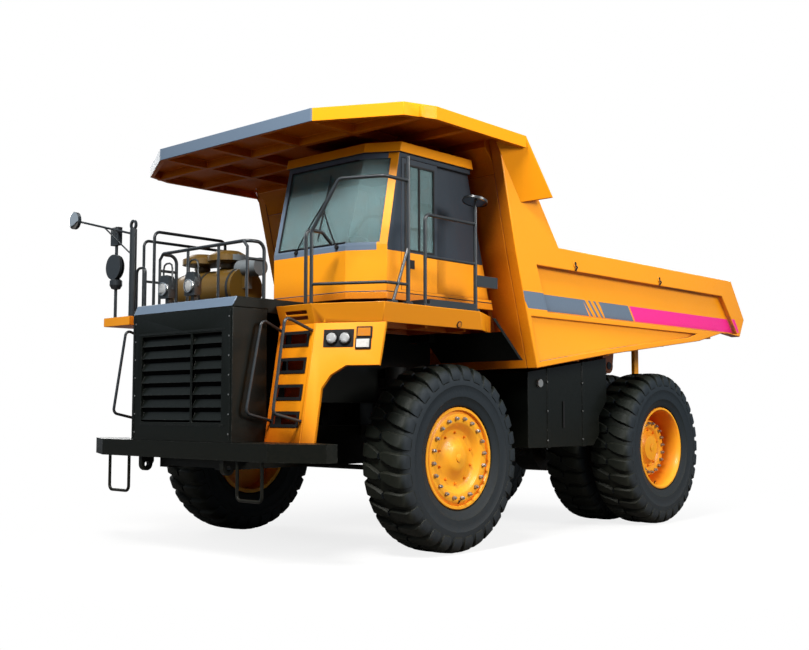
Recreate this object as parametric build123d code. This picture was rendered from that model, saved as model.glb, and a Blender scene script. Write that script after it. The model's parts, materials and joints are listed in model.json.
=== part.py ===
"""Rigid mining dump truck: two axles, twin rear wheels, offset cab, tipping body with a canopy.

Millimetres. X points to the truck's left, Y to its rear, Z up, and the tyres stand on Z = 0.
The sizes below are measured from the front axle, Y = 0, and place() moves each finished piece
so that the origin lies under the middle of the whole truck.
"""

import os
from math import atan2, cos, degrees, hypot, radians, sin, tan

from build123d import *

os.makedirs("parts", exist_ok=True)

# Whole truck
WHEELBASE = 4500
FRONT_END = -2390
TAIL_END = 7220
ORIGIN_Y = (FRONT_END + TAIL_END) / 2
SIDES = {"left": 1, "right": -1}

# Clearances
FIT = 0.5
SEAT_GAP = 0.3
RUNNING = 6

# Tyres and rims
TYRE_R = 1085
TYRE_W = 620
TYRE_FLANK_R = 870
TREAD_HALF_W = 255
LUG_COUNT = 30
GROOVE_W = 80
GROOVE_DEPTH = 55
GROOVE_IN_X = 105
BEAD_R = 560
FRONT_TRACK = 2 * 1836
REAR_OUTER_X = 1934
REAR_DISC_DEPTH = 190  # disc behind the outer tyre's middle
REAR_DISC_X = REAR_OUTER_X - REAR_DISC_DEPTH  # wheel disc, from the truck's middle
TWIN_GAP = 150
REAR_INNER_X = REAR_OUTER_X - TYRE_W - TWIN_GAP
RIM_HALF_W = 260
RIM_WALL = 25
RIM_LIP_R = 586
RIM_LIP_W = 30
HUB_R = 210
DISC_T = 40
FRONT_FACE_X = 245
FRONT_RECESS_X = 185
FRONT_BOLT_R = 456
REAR_BOLT_R = 430
BOLT_COUNT = 20
BOLT_R = 17
BOLT_LENGTH = 35
SPINDLE_R = 100
AXLE_END_R = 160

# Front suspension and steering
KINGPIN_X = 1100
STRUT_R = 125
STRUT_TOP_Z = 2150
STRUT_BRACKET_ZS = (1330, 1900)
KNUCKLE_R = 150
KNUCKLE_LOW_Z = 880
KNUCKLE_TOP_Z = 1300
STEER_ARM_X = KINGPIN_X
STEER_ARM_Y = 450
STEER_ARM_Z = 930
STEER_ARM_T = 40
TIE_PIN_R = 20
TIE_ROD_R = 32

# Frame
RAIL_IN_X = 420
RAIL_OUT_X = 600
RAIL_LOW_Z = 980
RAIL_FRONT_TOP_Z = 1450
FRAME_FRONT_Y = -2200
PIVOT_Y = 5550
PIVOT_Z = 2350
PIVOT_PIN_R = 60
PIVOT_BOSS_R = 150
REAR_RAIL_Z = 1800
CROSS_W = 150
A_FRAME_Y = 3350
AXLE_NOSE = 560
SHAFT_R = 65
ENGINE_FRONT_Y = -1750
ENGINE_BACK_Y = 200
ENGINE_LOW_Z = 1150
ENGINE_TOP_Z = 2450
GEARBOX_BACK_Y = 1500
DECK_POST_TOP = 90
DECK_POST_YS = (-750, 450)

# Bumper
BUMPER_LOW_Z = 1100
BUMPER_TOP_Z = 1290
BUMPER_FLAT_X = 1515
BUMPER_END_X = 2100
BUMPER_BACK_Y = -1850
CHAMFER_ANGLE = 25.6
HANGING_STEP_X = 1200
HANGING_STEP_W = 400
HANGING_STEP_LOW_Z = 690
HANGING_STEP_R = 18
TOW_EYE_X = 750
TOW_EYE_R = 32
TOW_EYE_OUTER_R = 75
TOW_EYE_T = 60

# Radiator and hood
HOOD_HALF_W = 925
RADIATOR_FRONT_Y = -2380
RADIATOR_BACK_Y = -1900
RADIATOR_TOP_Z = 2740
HOOD_LOW_Z = 2700
HOOD_TOP_Z = 2860
HOOD_FRONT_Y = -2330
HOOD_BACK_Y = 900
GRILLE_HALF_W = 740
GRILLE_LOW_Z = 1500
GRILLE_HIGH_Z = 2480
GRILLE_DEPTH = 60
GRILLE_ROWS = 7
GRILLE_MULLION_X = 210
GRILLE_MULLION = 40
SLAT_H = 95
SLAT_T = 12

# Fenders and decks
PANEL_T = 50
PANEL_FOOT_Y = -1930
PANEL_RAKE = 9.5
FOLD_X = 1500
DECK_HALF_W = 2250
DECK_TOP_Z = 2780
DECK_FASCIA = 210
DECK_PLATE = 40
DECK_SKIRT = 30
FASCIA_SETBACK = 70
SLIT_H = 36
DECK_FRONT_Y = -1780
DECK_SIDE_END_Y = 200
DECK_BACK_Y = 850
DECK_BACK_X = 1900
STEP_COUNT = 4
STEP_PITCH = 290
STEP_FIRST_Z = 1450
STEP_OPENING_H = 170
STEP_IN_X = 1000
STEP_OUT_X = 1440
STEP_DEPTH = 160
ARCH_TOP_Z = 2110
LEG_W = 165
LEG_TOP_Z = 1870
GUARD_T = 12
GUARD_X = 935
GUARD_FRONT_Y = -1640
GUARD_LOW_Z = 1720
GUARD_FOOT_Y = 1045
GUARD_FOOT_Z = 2243
GUARD_SLOPE = 546 / 481

# Cab
CAB_LEFT_X = 1850
CAB_RIGHT_X = 220
CAB_LOW_Z = 2870
CAB_FLOOR = 80
CAB_SILL_Z = 3480
CAB_EAVES_Z = 4560
CAB_TOP_Z = 4680
CAB_FRONT_Y = -1200
CAB_ROOF_FRONT_Y = -945
CAB_NEAR_Y = -960
CAB_ROOF_NEAR_Y = -745
CAB_CHAMFER = 30
CAB_REAR_LOW_Y = 970
CAB_REAR_HIGH_Y = 500
CAB_WALL = 50
GLASS_INSET = 12
GLASS_T = 10
ROOF_OVERHANG = 30
DOOR_T = 40
DOOR_FRONT_Y = -720
DOOR_BACK_Y = -100
DOOR_LOW_Z = 2990
DOOR_TOP_Z = 4500

# Tipping body
BODY_HALF_W = 2250
BODY_WALL = 150
BODY_INNER_X = BODY_HALF_W - BODY_WALL
RECESS = 80
LOWER_RECESS = 35
RAIL_TOP_Z = 3710
RAIL_BOX_H = 270
FLOOR_T = 60
FLOOR_SLOPE = 0.1281
FLOOR_START_Y = 1450
FLOOR_START_Z = 2270
RIB_W = 100
RIB_DEPTH = 120
RIB_FIRST_Y = 1700
RIB_PITCH = 760
RIB_COUNT = 7
BOLSTER_DEPTH = 200
BOLSTER_W = 160
BOLSTER_FRONT_Y = 1950
BOLSTER_BACK_Y = 5080
EAR_IN_X = 615
EAR_OUT_X = 695
FRONT_WALL_T = 120

# Canopy
CANOPY_FASCIA = 150
CANOPY_HEADROOM = 120
CANOPY_TOP_Z = CAB_TOP_Z + CANOPY_HEADROOM + CANOPY_FASCIA
CANOPY_PLATE = 50
CANOPY_LIP = 60
CANOPY_FRONT_Y = -1720
CANOPY_FLAT_X = 1400
CANOPY_CORNER_X = BODY_HALF_W + 90
CANOPY_CORNER_Y = -1220
CANOPY_WIDE_X = BODY_HALF_W + 230
CANOPY_WIDE_Y = -840
CANOPY_BACK_Y = 870
CANOPY_BACK_X = BODY_HALF_W + 200
WALL_TOP_Z = CANOPY_TOP_Z - 450
WALL_TOP_Y = 680
WALL_TOP_T = 80
CHEEK_FRONT_Y = 560

# Hoist cylinders
HOIST_X = 800
HOIST_FOOT_Y = 2150
HOIST_FOOT_Z = 1150
HOIST_HEAD_Y = 3600
HOIST_HEAD_Z = 2400
HOIST_BARREL_R = 105
HOIST_ROD_R = 70
HOIST_BARREL_LENGTH = 1620
HOIST_PIN_R = 45
HOIST_EYE_R = 90
HOIST_EYE_W = 150

# Tanks
TANK_IN_X = 980
TANK_OUT_X = 1900
TANK_FRONT_Y = 1620
TANK_BACK_Y = WHEELBASE - TYRE_R - 115
TANK_REACH = 200
TANK_LOW_Z = 1150
TANK_GAP = 50

# Handrails
POST_R = 20
RAIL_R = 17
LADDER_IN_X = 1000
LADDER_OUT_X = 1470

# Landing, lamps, mirrors and air cleaners
LANDING_IN_X = 1500
LANDING_OUT_X = 2070
LANDING_FRONT_Y = -2060
LANDING_Z = (2690, 2800)
MAST_X = 1550
MAST_Y = -1990
MAST_TOP_Z = 3900
LAMP_R = 80
WORK_LAMP_XS = (-480, 10)
WORK_LAMP_Y = -2220
MIRROR_R = 112
CLEANER_Y = -1200
CLEANER_R = 260
CLEANER_CAP_R = 255
CLEANER_XS = (-1170, -650)


def block(x, y, z):
    """Box between pairs of limits, given in either order."""
    lows = [min(pair) for pair in (x, y, z)]
    highs = [max(pair) for pair in (x, y, z)]
    middles = [(low + high) / 2 for low, high in zip(lows, highs)]
    return Pos(*middles) * Box(*[high - low for low, high in zip(lows, highs)])


def prism(plane, points, depth):
    """Polygon given in a plane's own coordinates, carried along the plane's normal."""
    return extrude(plane * Polygon(*points, align=None), depth, dir=plane.z_dir)


def side_prism(points, x0, x1):
    """Outline in (Y, Z) carried across the truck from x0 to x1."""
    return prism(Plane.YZ.offset(min(x0, x1)), points, abs(x1 - x0))


def plan_prism(points, z0, z1):
    """Outline in (X, Y) carried up from z0 to z1."""
    return prism(Plane.XY.offset(z0), points, z1 - z0)


def along_x(radius, x0, x1, y, z):
    """Round bar parallel to X."""
    return Pos((x0 + x1) / 2, y, z) * Rot(0, 90, 0) * Cylinder(radius, abs(x1 - x0))


def along_y(radius, y0, y1, x, z):
    """Round bar parallel to Y."""
    return Pos(x, (y0 + y1) / 2, z) * Rot(90, 0, 0) * Cylinder(radius, abs(y1 - y0))


def along_z(radius, z0, z1, x, y):
    """Upright round bar."""
    return Pos(x, y, (z0 + z1) / 2) * Cylinder(radius, abs(z1 - z0))


def bar(start, end, radius):
    """Round bar between two points."""
    start = Vector(*start)
    end = Vector(*end)
    plane = Plane(origin=start, z_dir=end - start)
    return extrude(plane * Circle(radius), (end - start).length, dir=plane.z_dir)


def pipe(points, radius, bend):
    """Round tube along straight runs that meet in bends of one radius."""
    if len(points) == 2:
        return bar(points[0], points[1], radius)
    path = FilletPolyline(*points, radius=bend)
    return sweep(Plane(origin=path @ 0, z_dir=path % 0) * Circle(radius), path=path)


def joined(shapes):
    """Shapes fused in one step."""
    shapes = list(shapes)
    return shapes[0] if len(shapes) == 1 else shapes[0].fuse(*shapes[1:])


def turned(profile):
    """Profile in (X, radius) turned round the X axis."""
    return revolve(Plane.XY * Polygon(*profile, align=None), Axis.X)


def mirrored(shape, side):
    """The left-hand shape, or its mirror image on the right."""
    return shape if side == 1 else mirror(shape, Plane.YZ)


def place(name, shape):
    """Moves a finished piece to the truck's own origin and writes it."""
    export_step(Pos(0, -ORIGIN_Y, 0) * shape, f"parts/{name}.step")


def flat_ring(stations):
    """Solid with a many-sided outline that changes from station to station (X, radius to the flats)."""
    corner = cos(radians(180 / LUG_COUNT))
    outlines = [
        Plane.YZ.offset(x) * RegularPolygon(radius / corner, LUG_COUNT)
        for x, radius in stations
    ]
    return loft(outlines, ruled=True)


def tyre_form():
    """Tyre on the X axis, one flat to a lug, with wedge grooves in both shoulders."""
    half = TYRE_W / 2
    bead = RIM_HALF_W - RIM_LIP_W
    shape = flat_ring([
        (-half, TYRE_FLANK_R), (-TREAD_HALF_W, TYRE_R), (TREAD_HALF_W, TYRE_R), (half, TYRE_FLANK_R),
    ])
    shape -= flat_ring([(-half - 1, BEAD_R + SEAT_GAP), (half + 1, BEAD_R + SEAT_GAP)])
    grooves = []
    for side in SIDES.values():
        shape -= flat_ring([(side * bead, RIM_LIP_R + 4), (side * half, TYRE_FLANK_R - 1)])
        wedge = prism(
            Plane.XZ.offset(-GROOVE_W / 2),
            [
                (side * GROOVE_IN_X, TYRE_R + 10),
                (side * (half + 10), TYRE_R + 10),
                (side * (half + 10), TYRE_FLANK_R + 25),
                (side * TREAD_HALF_W, TYRE_R - GROOVE_DEPTH),
                (side * (GROOVE_IN_X + 15), TYRE_R - 12),
            ],
            GROOVE_W,
        )
        for k in range(LUG_COUNT):
            turn = (k + 0.25 * (1 - side)) * 360 / LUG_COUNT
            grooves.append(Rot(turn, 0, 0) * wedge)
    return shape.cut(*grooves)


def rim_barrel(x0, x1):
    """Rim tube with a lip at each end."""
    inner = BEAD_R - RIM_WALL
    tube = turned([(x0, inner), (x0, BEAD_R), (x1, BEAD_R), (x1, inner)])
    lips = [
        turned([(a, inner), (a, RIM_LIP_R), (b, RIM_LIP_R), (b, inner)])
        for a, b in ((x0 - RIM_LIP_W, x0), (x1, x1 + RIM_LIP_W))
    ]
    return joined([tube] + lips)


def hexagon(radius, y, z):
    """Corners of a hexagon in (Y, Z)."""
    corners = [radians(60 * k) for k in range(6)]
    return [(y + radius * cos(angle), z + radius * sin(angle)) for angle in corners]


def bolt_ring(x0, x1, radius):
    """Hexagonal heads of the wheel nuts on a circle round the X axis."""
    heads = []
    for k in range(BOLT_COUNT):
        angle = radians(360 * k / BOLT_COUNT)
        heads.append(side_prism(hexagon(BOLT_R, radius * cos(angle), radius * sin(angle)), x0, x1))
    return heads


def front_rim():
    """Front rim, disc and hub, centred on X = 0, outer side towards +X."""
    inner = BEAD_R - RIM_WALL
    face = FRONT_FACE_X
    recess = FRONT_RECESS_X
    barrel = rim_barrel(-RIM_HALF_W + RIM_LIP_W, RIM_HALF_W - RIM_LIP_W)
    disc = turned([
        (100, 0),
        (100, SPINDLE_R + FIT),
        (-220, SPINDLE_R + FIT),
        (-220, HUB_R),
        (recess - DISC_T, HUB_R + 20),
        (recess - DISC_T, 340),
        (face - DISC_T, 400),
        (face - DISC_T, 500),
        (face - DISC_T - 20, inner + 5),
        (face - 20, inner + 5),
        (face, 505),
        (face, 405),
        (recess, 330),
        (recess, 250),
        (face - 15, 160),
        (face + 10, 0),
    ])
    heads = bolt_ring(face - 5, face + BOLT_LENGTH, FRONT_BOLT_R)
    return joined([barrel, disc] + heads)


def rear_rim():
    """Twin rims joined by one drum, with the disc deep in the outer one, left side."""
    inner = BEAD_R - RIM_WALL
    barrel = rim_barrel(REAR_INNER_X - RIM_HALF_W + RIM_LIP_W, REAR_OUTER_X + RIM_HALF_W - RIM_LIP_W)
    disc = turned([
        (REAR_DISC_X - DISC_T, AXLE_END_R + FIT),
        (REAR_DISC_X - DISC_T, inner + 5),
        (REAR_DISC_X, inner + 5),
        (REAR_DISC_X, 300),
        (REAR_DISC_X + 120, 250),
        (REAR_DISC_X + 150, 120),
        (REAR_DISC_X + 150, 0),
        (REAR_DISC_X + 10, 0),
        (REAR_DISC_X + 10, AXLE_END_R + FIT),
    ])
    sleeve = turned([
        (REAR_INNER_X - 100, AXLE_END_R + FIT),
        (REAR_INNER_X - 100, AXLE_END_R + 70),
        (REAR_DISC_X - 10, AXLE_END_R + 70),
        (REAR_DISC_X - 10, AXLE_END_R + FIT),
    ])
    heads = bolt_ring(REAR_DISC_X - 5, REAR_DISC_X + BOLT_LENGTH, REAR_BOLT_R)
    return joined([barrel, disc, sleeve] + heads)


def at_axle(shape, y):
    """Lifts a shape made round the X axis to the wheels' centre height."""
    return Pos(0, y, TYRE_R) * shape


FRONT_WHEEL_X = FRONT_TRACK / 2


def knuckle():
    """Left steering knuckle: kingpin barrel, wheel spindle and steering arm."""
    barrel = along_z(KNUCKLE_R, KNUCKLE_LOW_Z, KNUCKLE_TOP_Z, KINGPIN_X, 0)
    spindle = along_x(SPINDLE_R, KINGPIN_X, FRONT_WHEEL_X + 100 - RUNNING, 0, TYRE_R)
    arm = plan_prism(
        [
            (KINGPIN_X - 90, 0),
            (KINGPIN_X + 90, 0),
            (STEER_ARM_X + 55, STEER_ARM_Y),
            (STEER_ARM_X - 55, STEER_ARM_Y),
        ],
        STEER_ARM_Z,
        STEER_ARM_Z + STEER_ARM_T,
    )
    eye = along_z(55, STEER_ARM_Z, STEER_ARM_Z + STEER_ARM_T, STEER_ARM_X, STEER_ARM_Y)
    arm_top = STEER_ARM_Z + STEER_ARM_T
    bore = along_z(TIE_PIN_R + FIT, STEER_ARM_Z - 1, arm_top + 1, STEER_ARM_X, STEER_ARM_Y)
    return joined([barrel, spindle, arm, eye]) - bore


def tie_rod():
    """Bar between the two steering arms, under their eyes."""
    top = STEER_ARM_Z - 1
    middle = top - TIE_ROD_R - 3
    ends = []
    for side in SIDES.values():
        x = side * STEER_ARM_X
        ends.append(along_z(50, middle - TIE_ROD_R - 3, top, x, STEER_ARM_Y))
        ends.append(along_z(TIE_PIN_R, top - 10, STEER_ARM_Z + STEER_ARM_T + 5, x, STEER_ARM_Y))
    rod = along_x(TIE_ROD_R, -STEER_ARM_X, STEER_ARM_X, STEER_ARM_Y, middle)
    return joined([rod] + ends)


def front_strut():
    """Left front strut in its bracket on the frame rail."""
    tube = along_z(STRUT_R, KNUCKLE_TOP_Z + 120, STRUT_TOP_Z, KINGPIN_X, 0)
    piston = along_z(STRUT_R - 30, KNUCKLE_TOP_Z + SEAT_GAP, KNUCKLE_TOP_Z + 130, KINGPIN_X, 0)
    brackets = []
    for z in STRUT_BRACKET_ZS:
        brackets.append(block((RAIL_OUT_X + SEAT_GAP, KINGPIN_X), (-90, 90), (z, z + 120)))
    return joined([tube, piston] + brackets)


def rail_top(y):
    """Height of the frame rail's top under the body's bolsters."""
    return floor_low(y) - BOLSTER_DEPTH - RUNNING


def floor_low(y):
    """Height of the body floor's underside."""
    return FLOOR_START_Z + (y - FLOOR_START_Y) * FLOOR_SLOPE


def frame_rails():
    """Two deep rails with cross members, strut tower, pivot bosses and hoist pins."""
    rise_y = 1700
    outline = [
        (FRAME_FRONT_Y, RAIL_LOW_Z),
        (2600, RAIL_LOW_Z),
        (3450, 1400),
        (3700, REAR_RAIL_Z),
        (5000, REAR_RAIL_Z),
        (PIVOT_Y, PIVOT_Z - PIVOT_BOSS_R),
        (PIVOT_Y, PIVOT_Z + PIVOT_BOSS_R),
        (5100, rail_top(5100)),
        (rise_y, rail_top(rise_y)),
        (900, RAIL_FRONT_TOP_Z),
        (BUMPER_BACK_Y + 60, RAIL_FRONT_TOP_Z),
        (BUMPER_BACK_Y, BUMPER_TOP_Z),
        (FRAME_FRONT_Y, BUMPER_TOP_Z),
    ]
    rail = side_prism(outline, RAIL_IN_X, RAIL_OUT_X)
    boss = along_x(PIVOT_BOSS_R, RAIL_IN_X, RAIL_OUT_X + 5, PIVOT_Y, PIVOT_Z)
    foot = along_x(HOIST_PIN_R, RAIL_OUT_X, HOIST_X + HOIST_EYE_W / 2 + 20, HOIST_FOOT_Y, HOIST_FOOT_Z)
    tower_top = STRUT_BRACKET_ZS[1] + 160
    tower = block((RAIL_OUT_X - 130, RAIL_OUT_X), (-110, 110), (RAIL_FRONT_TOP_Z - 10, tower_top))
    soffit = deck_soffit()
    posts = []
    for y in DECK_POST_YS:
        posts.append(block((RAIL_OUT_X - 100, RAIL_OUT_X), (y, y + 100), (RAIL_FRONT_TOP_Z - 10, soffit)))
        posts.append(block((RAIL_OUT_X - 100, 1250), (y, y + 100), (soffit - DECK_POST_TOP, soffit)))
    half = joined([rail, boss, foot, tower] + posts)
    cross_table = [
        # front face y, z low, z high
        (FRAME_FRONT_Y, 1000, 1250),
        (1750, 1300, 1900),
        (A_FRAME_Y - CROSS_W, 1200, 1420),
        (4850, 1850, 2150),
    ]
    crosses = [
        block((-RAIL_IN_X, RAIL_IN_X), (y, y + CROSS_W), (low, high)) for y, low, high in cross_table
    ]
    pivot = along_x(PIVOT_PIN_R, -EAR_OUT_X - 10, EAR_OUT_X + 10, PIVOT_Y, PIVOT_Z)
    return joined([half, mirror(half, Plane.YZ), pivot] + crosses)


def rear_axle():
    """Axle housing with differential, trailing A-frame and the two rear struts."""
    stub = along_x(AXLE_END_R, -REAR_DISC_X + 5, REAR_DISC_X - 5, WHEELBASE, TYRE_R)
    housing = along_x(230, -780, 780, WHEELBASE, TYRE_R)
    bowl = along_x(400, -190, 190, WHEELBASE, TYRE_R)
    nose = along_y(150, WHEELBASE - AXLE_NOSE, WHEELBASE - 300, 0, TYRE_R)
    tip = A_FRAME_Y + SEAT_GAP
    frame_a = plan_prism(
        [(-380, WHEELBASE - 150), (380, WHEELBASE - 150), (90, tip), (-90, tip)],
        1240,
        1340,
    )
    pads = []
    struts = []
    for side in SIDES.values():
        pads.append(block((side * 400, side * 620), (WHEELBASE - 90, WHEELBASE + 90), (1200, 1400)))
        struts.append(along_z(85, 1395, REAR_RAIL_Z, side * 510, WHEELBASE))
    return joined([stub, housing, bowl, nose, frame_a] + pads + struts)


def driveline():
    """Gearbox behind the engine and the shaft to the rear axle."""
    nose_y = WHEELBASE - AXLE_NOSE
    gearbox = block((-300, 300), (ENGINE_BACK_Y, GEARBOX_BACK_Y), (1000, 1750))
    shaft = along_y(SHAFT_R, GEARBOX_BACK_Y - 10, nose_y - SEAT_GAP, 0, TYRE_R)
    flange = along_y(SHAFT_R + 45, nose_y - 50, nose_y - SEAT_GAP, 0, TYRE_R)
    return joined([gearbox, shaft, flange])


def bumper():
    """Front bumper with its swept ends, hanging steps and tow eyes."""
    end_y = FRONT_END + (BUMPER_END_X - BUMPER_FLAT_X) * tan(radians(CHAMFER_ANGLE))
    outline = [
        (-BUMPER_FLAT_X, FRONT_END),
        (BUMPER_FLAT_X, FRONT_END),
        (BUMPER_END_X, end_y),
        (BUMPER_END_X, end_y + 150),
        (BUMPER_FLAT_X + 150, BUMPER_BACK_Y),
        (-BUMPER_FLAT_X - 150, BUMPER_BACK_Y),
        (-BUMPER_END_X, end_y + 150),
        (-BUMPER_END_X, end_y),
    ]
    beam = plan_prism(outline, BUMPER_LOW_Z, BUMPER_TOP_Z)
    beam -= block((-RAIL_OUT_X - 1, RAIL_OUT_X + 1), (FRAME_FRONT_Y, BUMPER_BACK_Y + 1), (0, 2000))
    step_y = FRONT_END + 2 * HANGING_STEP_R
    parts = [beam]
    for side in SIDES.values():
        inner = side * HANGING_STEP_X - HANGING_STEP_W / 2
        outer = side * HANGING_STEP_X + HANGING_STEP_W / 2
        parts.append(pipe(
            [
                (inner, step_y, BUMPER_LOW_Z + 10),
                (inner, step_y, HANGING_STEP_LOW_Z),
                (outer, step_y, HANGING_STEP_LOW_Z),
                (outer, step_y, BUMPER_LOW_Z + 10),
            ],
            HANGING_STEP_R,
            60,
        ))
        eye_z = BUMPER_LOW_Z - 90
        eye_x = side * TOW_EYE_X
        lug = side_prism(
            [
                (FRONT_END + 20, BUMPER_LOW_Z + 10),
                (FRONT_END + 190, BUMPER_LOW_Z + 10),
                (FRONT_END + 190, BUMPER_LOW_Z - 60),
                (FRONT_END + 95 + TOW_EYE_OUTER_R, eye_z),
                (FRONT_END + 95 - TOW_EYE_OUTER_R, eye_z),
            ],
            eye_x - TOW_EYE_T / 2,
            eye_x + TOW_EYE_T / 2,
        )
        ring = along_x(TOW_EYE_OUTER_R, eye_x - TOW_EYE_T / 2, eye_x + TOW_EYE_T / 2, FRONT_END + 95, eye_z)
        bore = along_x(TOW_EYE_R, eye_x - TOW_EYE_T, eye_x + TOW_EYE_T, FRONT_END + 95, eye_z)
        parts.append(joined([lug, ring]) - bore)
    return joined(parts)


def radiator():
    """Radiator housing with broad sloping slats in two columns."""
    shape = block(
        (-HOOD_HALF_W, HOOD_HALF_W), (RADIATOR_FRONT_Y, RADIATOR_BACK_Y), (BUMPER_TOP_Z, RADIATOR_TOP_Z)
    )
    columns = [
        # inner edge x, outer edge x
        (-GRILLE_HALF_W, GRILLE_MULLION_X - GRILLE_MULLION / 2),
        (GRILLE_MULLION_X + GRILLE_MULLION / 2, GRILLE_HALF_W),
    ]
    back = RADIATOR_FRONT_Y + GRILLE_DEPTH
    pitch = (GRILLE_HIGH_Z - GRILLE_LOW_Z) / GRILLE_ROWS
    slats = []
    for x0, x1 in columns:
        shape -= block((x0, x1), (RADIATOR_FRONT_Y - 1, back), (GRILLE_LOW_Z, GRILLE_HIGH_Z))
        for row in range(GRILLE_ROWS):
            low = GRILLE_LOW_Z + row * pitch + (pitch - SLAT_H) / 2
            slats.append(side_prism(
                [
                    (RADIATOR_FRONT_Y + 6, low),
                    (RADIATOR_FRONT_Y + 6 + SLAT_T, low),
                    (back + 1, low + SLAT_H),
                    (back + 1 - SLAT_T, low + SLAT_H),
                ],
                x0 - 1,
                x1 + 1,
            ))
    return joined([shape] + slats)


def hood():
    """Engine cover between the decks, with the sloping front strip."""
    outline = [
        (RADIATOR_FRONT_Y - 8, RADIATOR_TOP_Z),
        (HOOD_FRONT_Y, HOOD_TOP_Z),
        (HOOD_BACK_Y, HOOD_TOP_Z),
        (HOOD_BACK_Y, HOOD_LOW_Z),
        (RADIATOR_BACK_Y, HOOD_LOW_Z),
        (RADIATOR_BACK_Y, RADIATOR_TOP_Z),
    ]
    return side_prism(outline, -HOOD_HALF_W, HOOD_HALF_W)


def panel_y(z):
    """Front face of the raked stair panel at a height."""
    return PANEL_FOOT_Y + (z - BUMPER_TOP_Z) * tan(radians(PANEL_RAKE))


def deck_soffit():
    """Height of the deck's lower edge."""
    return DECK_TOP_Z - DECK_FASCIA


def lamp_plane():
    """Plane of the swept lamp panel: X outwards and back, Y up the slope, origin at the fold's foot."""
    out = Vector(cos(radians(CHAMFER_ANGLE)), sin(radians(CHAMFER_ANGLE)), 0)
    fold = Vector(0, sin(radians(PANEL_RAKE)), cos(radians(PANEL_RAKE)))
    return Plane(origin=(FOLD_X, PANEL_FOOT_Y, BUMPER_TOP_Z), x_dir=out, z_dir=out.cross(fold))


def lamp_point(s, z):
    """Plane coordinates of a point s out from the fold at height z."""
    plane = lamp_plane()
    up = plane.y_dir.Z
    fold_dir = Vector(0, sin(radians(PANEL_RAKE)), cos(radians(PANEL_RAKE)))
    run = (z - BUMPER_TOP_Z) / fold_dir.Z
    return (s + run * fold_dir.dot(plane.x_dir), (z - BUMPER_TOP_Z) / up)


def fender():
    """Left fender: stair panel with tread pockets, swept lamp panel over the wheel."""
    top = deck_soffit()
    stair = side_prism(
        [
            (panel_y(BUMPER_TOP_Z), BUMPER_TOP_Z),
            (panel_y(top), top),
            (panel_y(top) + PANEL_T, top),
            (panel_y(BUMPER_TOP_Z) + PANEL_T, BUMPER_TOP_Z),
        ],
        HOOD_HALF_W + 5,
        FOLD_X + 10,
    )
    treads = []
    for k in range(STEP_COUNT):
        z = STEP_FIRST_Z + k * STEP_PITCH
        stair -= block((STEP_IN_X, STEP_OUT_X), (-3000, 0), (z, z + STEP_OPENING_H))
        front = panel_y(z)
        treads.append(side_prism(
            [
                (front + 8, z - 30),
                (front + 8, z),
                (front + STEP_DEPTH, z),
                (front + STEP_DEPTH, z + STEP_OPENING_H),
                (front + STEP_DEPTH + 8, z + STEP_OPENING_H),
                (front + STEP_DEPTH + 8, z - 30),
            ],
            STEP_IN_X - 10,
            STEP_OUT_X + 10,
        ))
    plane = lamp_plane()
    outline = [
        lamp_point(-8, BUMPER_TOP_Z),
        lamp_point(LEG_W, BUMPER_TOP_Z),
        lamp_point(LEG_W, LEG_TOP_Z),
        lamp_point(250, ARCH_TOP_Z - 100),
        lamp_point(410, ARCH_TOP_Z),
        lamp_point(780, ARCH_TOP_Z),
        lamp_point(800, top),
        lamp_point(-8, top),
    ]
    panel = extrude(plane * Polygon(*outline, align=None), PANEL_T, dir=-plane.z_dir)
    ends = block((0, 3000), (-3000, 0), (BUMPER_TOP_Z, top))
    return joined([stair, panel & ends] + treads)


def deck_outline():
    """Corners of the left deck in (X, Y)."""
    return [
        (HOOD_HALF_W + 5, DECK_FRONT_Y),
        (FOLD_X, DECK_FRONT_Y),
        (DECK_HALF_W, deck_edge_y(DECK_HALF_W)),
        (DECK_HALF_W, DECK_SIDE_END_Y),
        (DECK_BACK_X, DECK_BACK_Y),
        (HOOD_HALF_W + 5, DECK_BACK_Y),
    ]


def fascia_planes():
    """Point and normal of the deck's three leaning faces: front, swept corner and side."""
    lean = atan2(FASCIA_SETBACK, DECK_FASCIA)
    sweep_angle = radians(CHAMFER_ANGLE)
    outwards = [Vector(0, -1, 0), Vector(sin(sweep_angle), -cos(sweep_angle), 0), Vector(1, 0, 0)]
    corners = [(FOLD_X, DECK_FRONT_Y), (FOLD_X, DECK_FRONT_Y), (DECK_HALF_W, DECK_SIDE_END_Y)]
    return [
        (Vector(x, y, DECK_TOP_Z), out * cos(lean) - Vector(0, 0, sin(lean)))
        for (x, y), out in zip(corners, outwards)
    ]


def deck_block(inset, low, high):
    """Deck's form moved in by an inset, between two heights."""
    face = Polygon(*deck_outline(), align=None)
    if inset:
        face = offset(face, -inset, kind=Kind.INTERSECTION)
    shape = extrude(Plane.XY.offset(low) * face, high - low)
    for point, normal in fascia_planes():
        shape = cut_by(shape, point - normal * inset, normal)
    return shape


def deck():
    """Left deck: plate with a deep leaning fascia, stiffeners below and slits at the stair head."""
    low = deck_soffit()
    plate_low = DECK_TOP_Z - DECK_PLATE
    plate = deck_block(0, plate_low, DECK_TOP_Z)
    skirt = deck_block(0, low, plate_low + 5) - deck_block(DECK_SKIRT, low - 1, plate_low + 6)
    slit_x = (STEP_IN_X + 60, STEP_OUT_X - 40)
    slit_y = (DECK_FRONT_Y - 10, DECK_FRONT_Y + 200)
    for z in (low + 45, low + 105):
        skirt -= block(slit_x, slit_y, (z, z + SLIT_H))
    beams = []
    for y in (-1050, -350, 350):
        beams.append(block((HOOD_HALF_W + 20, DECK_BACK_X - 20), (y, y + 40), (low, DECK_TOP_Z - 20)))
    beams.append(block((1560, 1600), (DECK_FRONT_Y + 110, DECK_BACK_Y - 10), (low, DECK_TOP_Z - 20)))
    return joined([plate, skirt] + beams)


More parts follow.
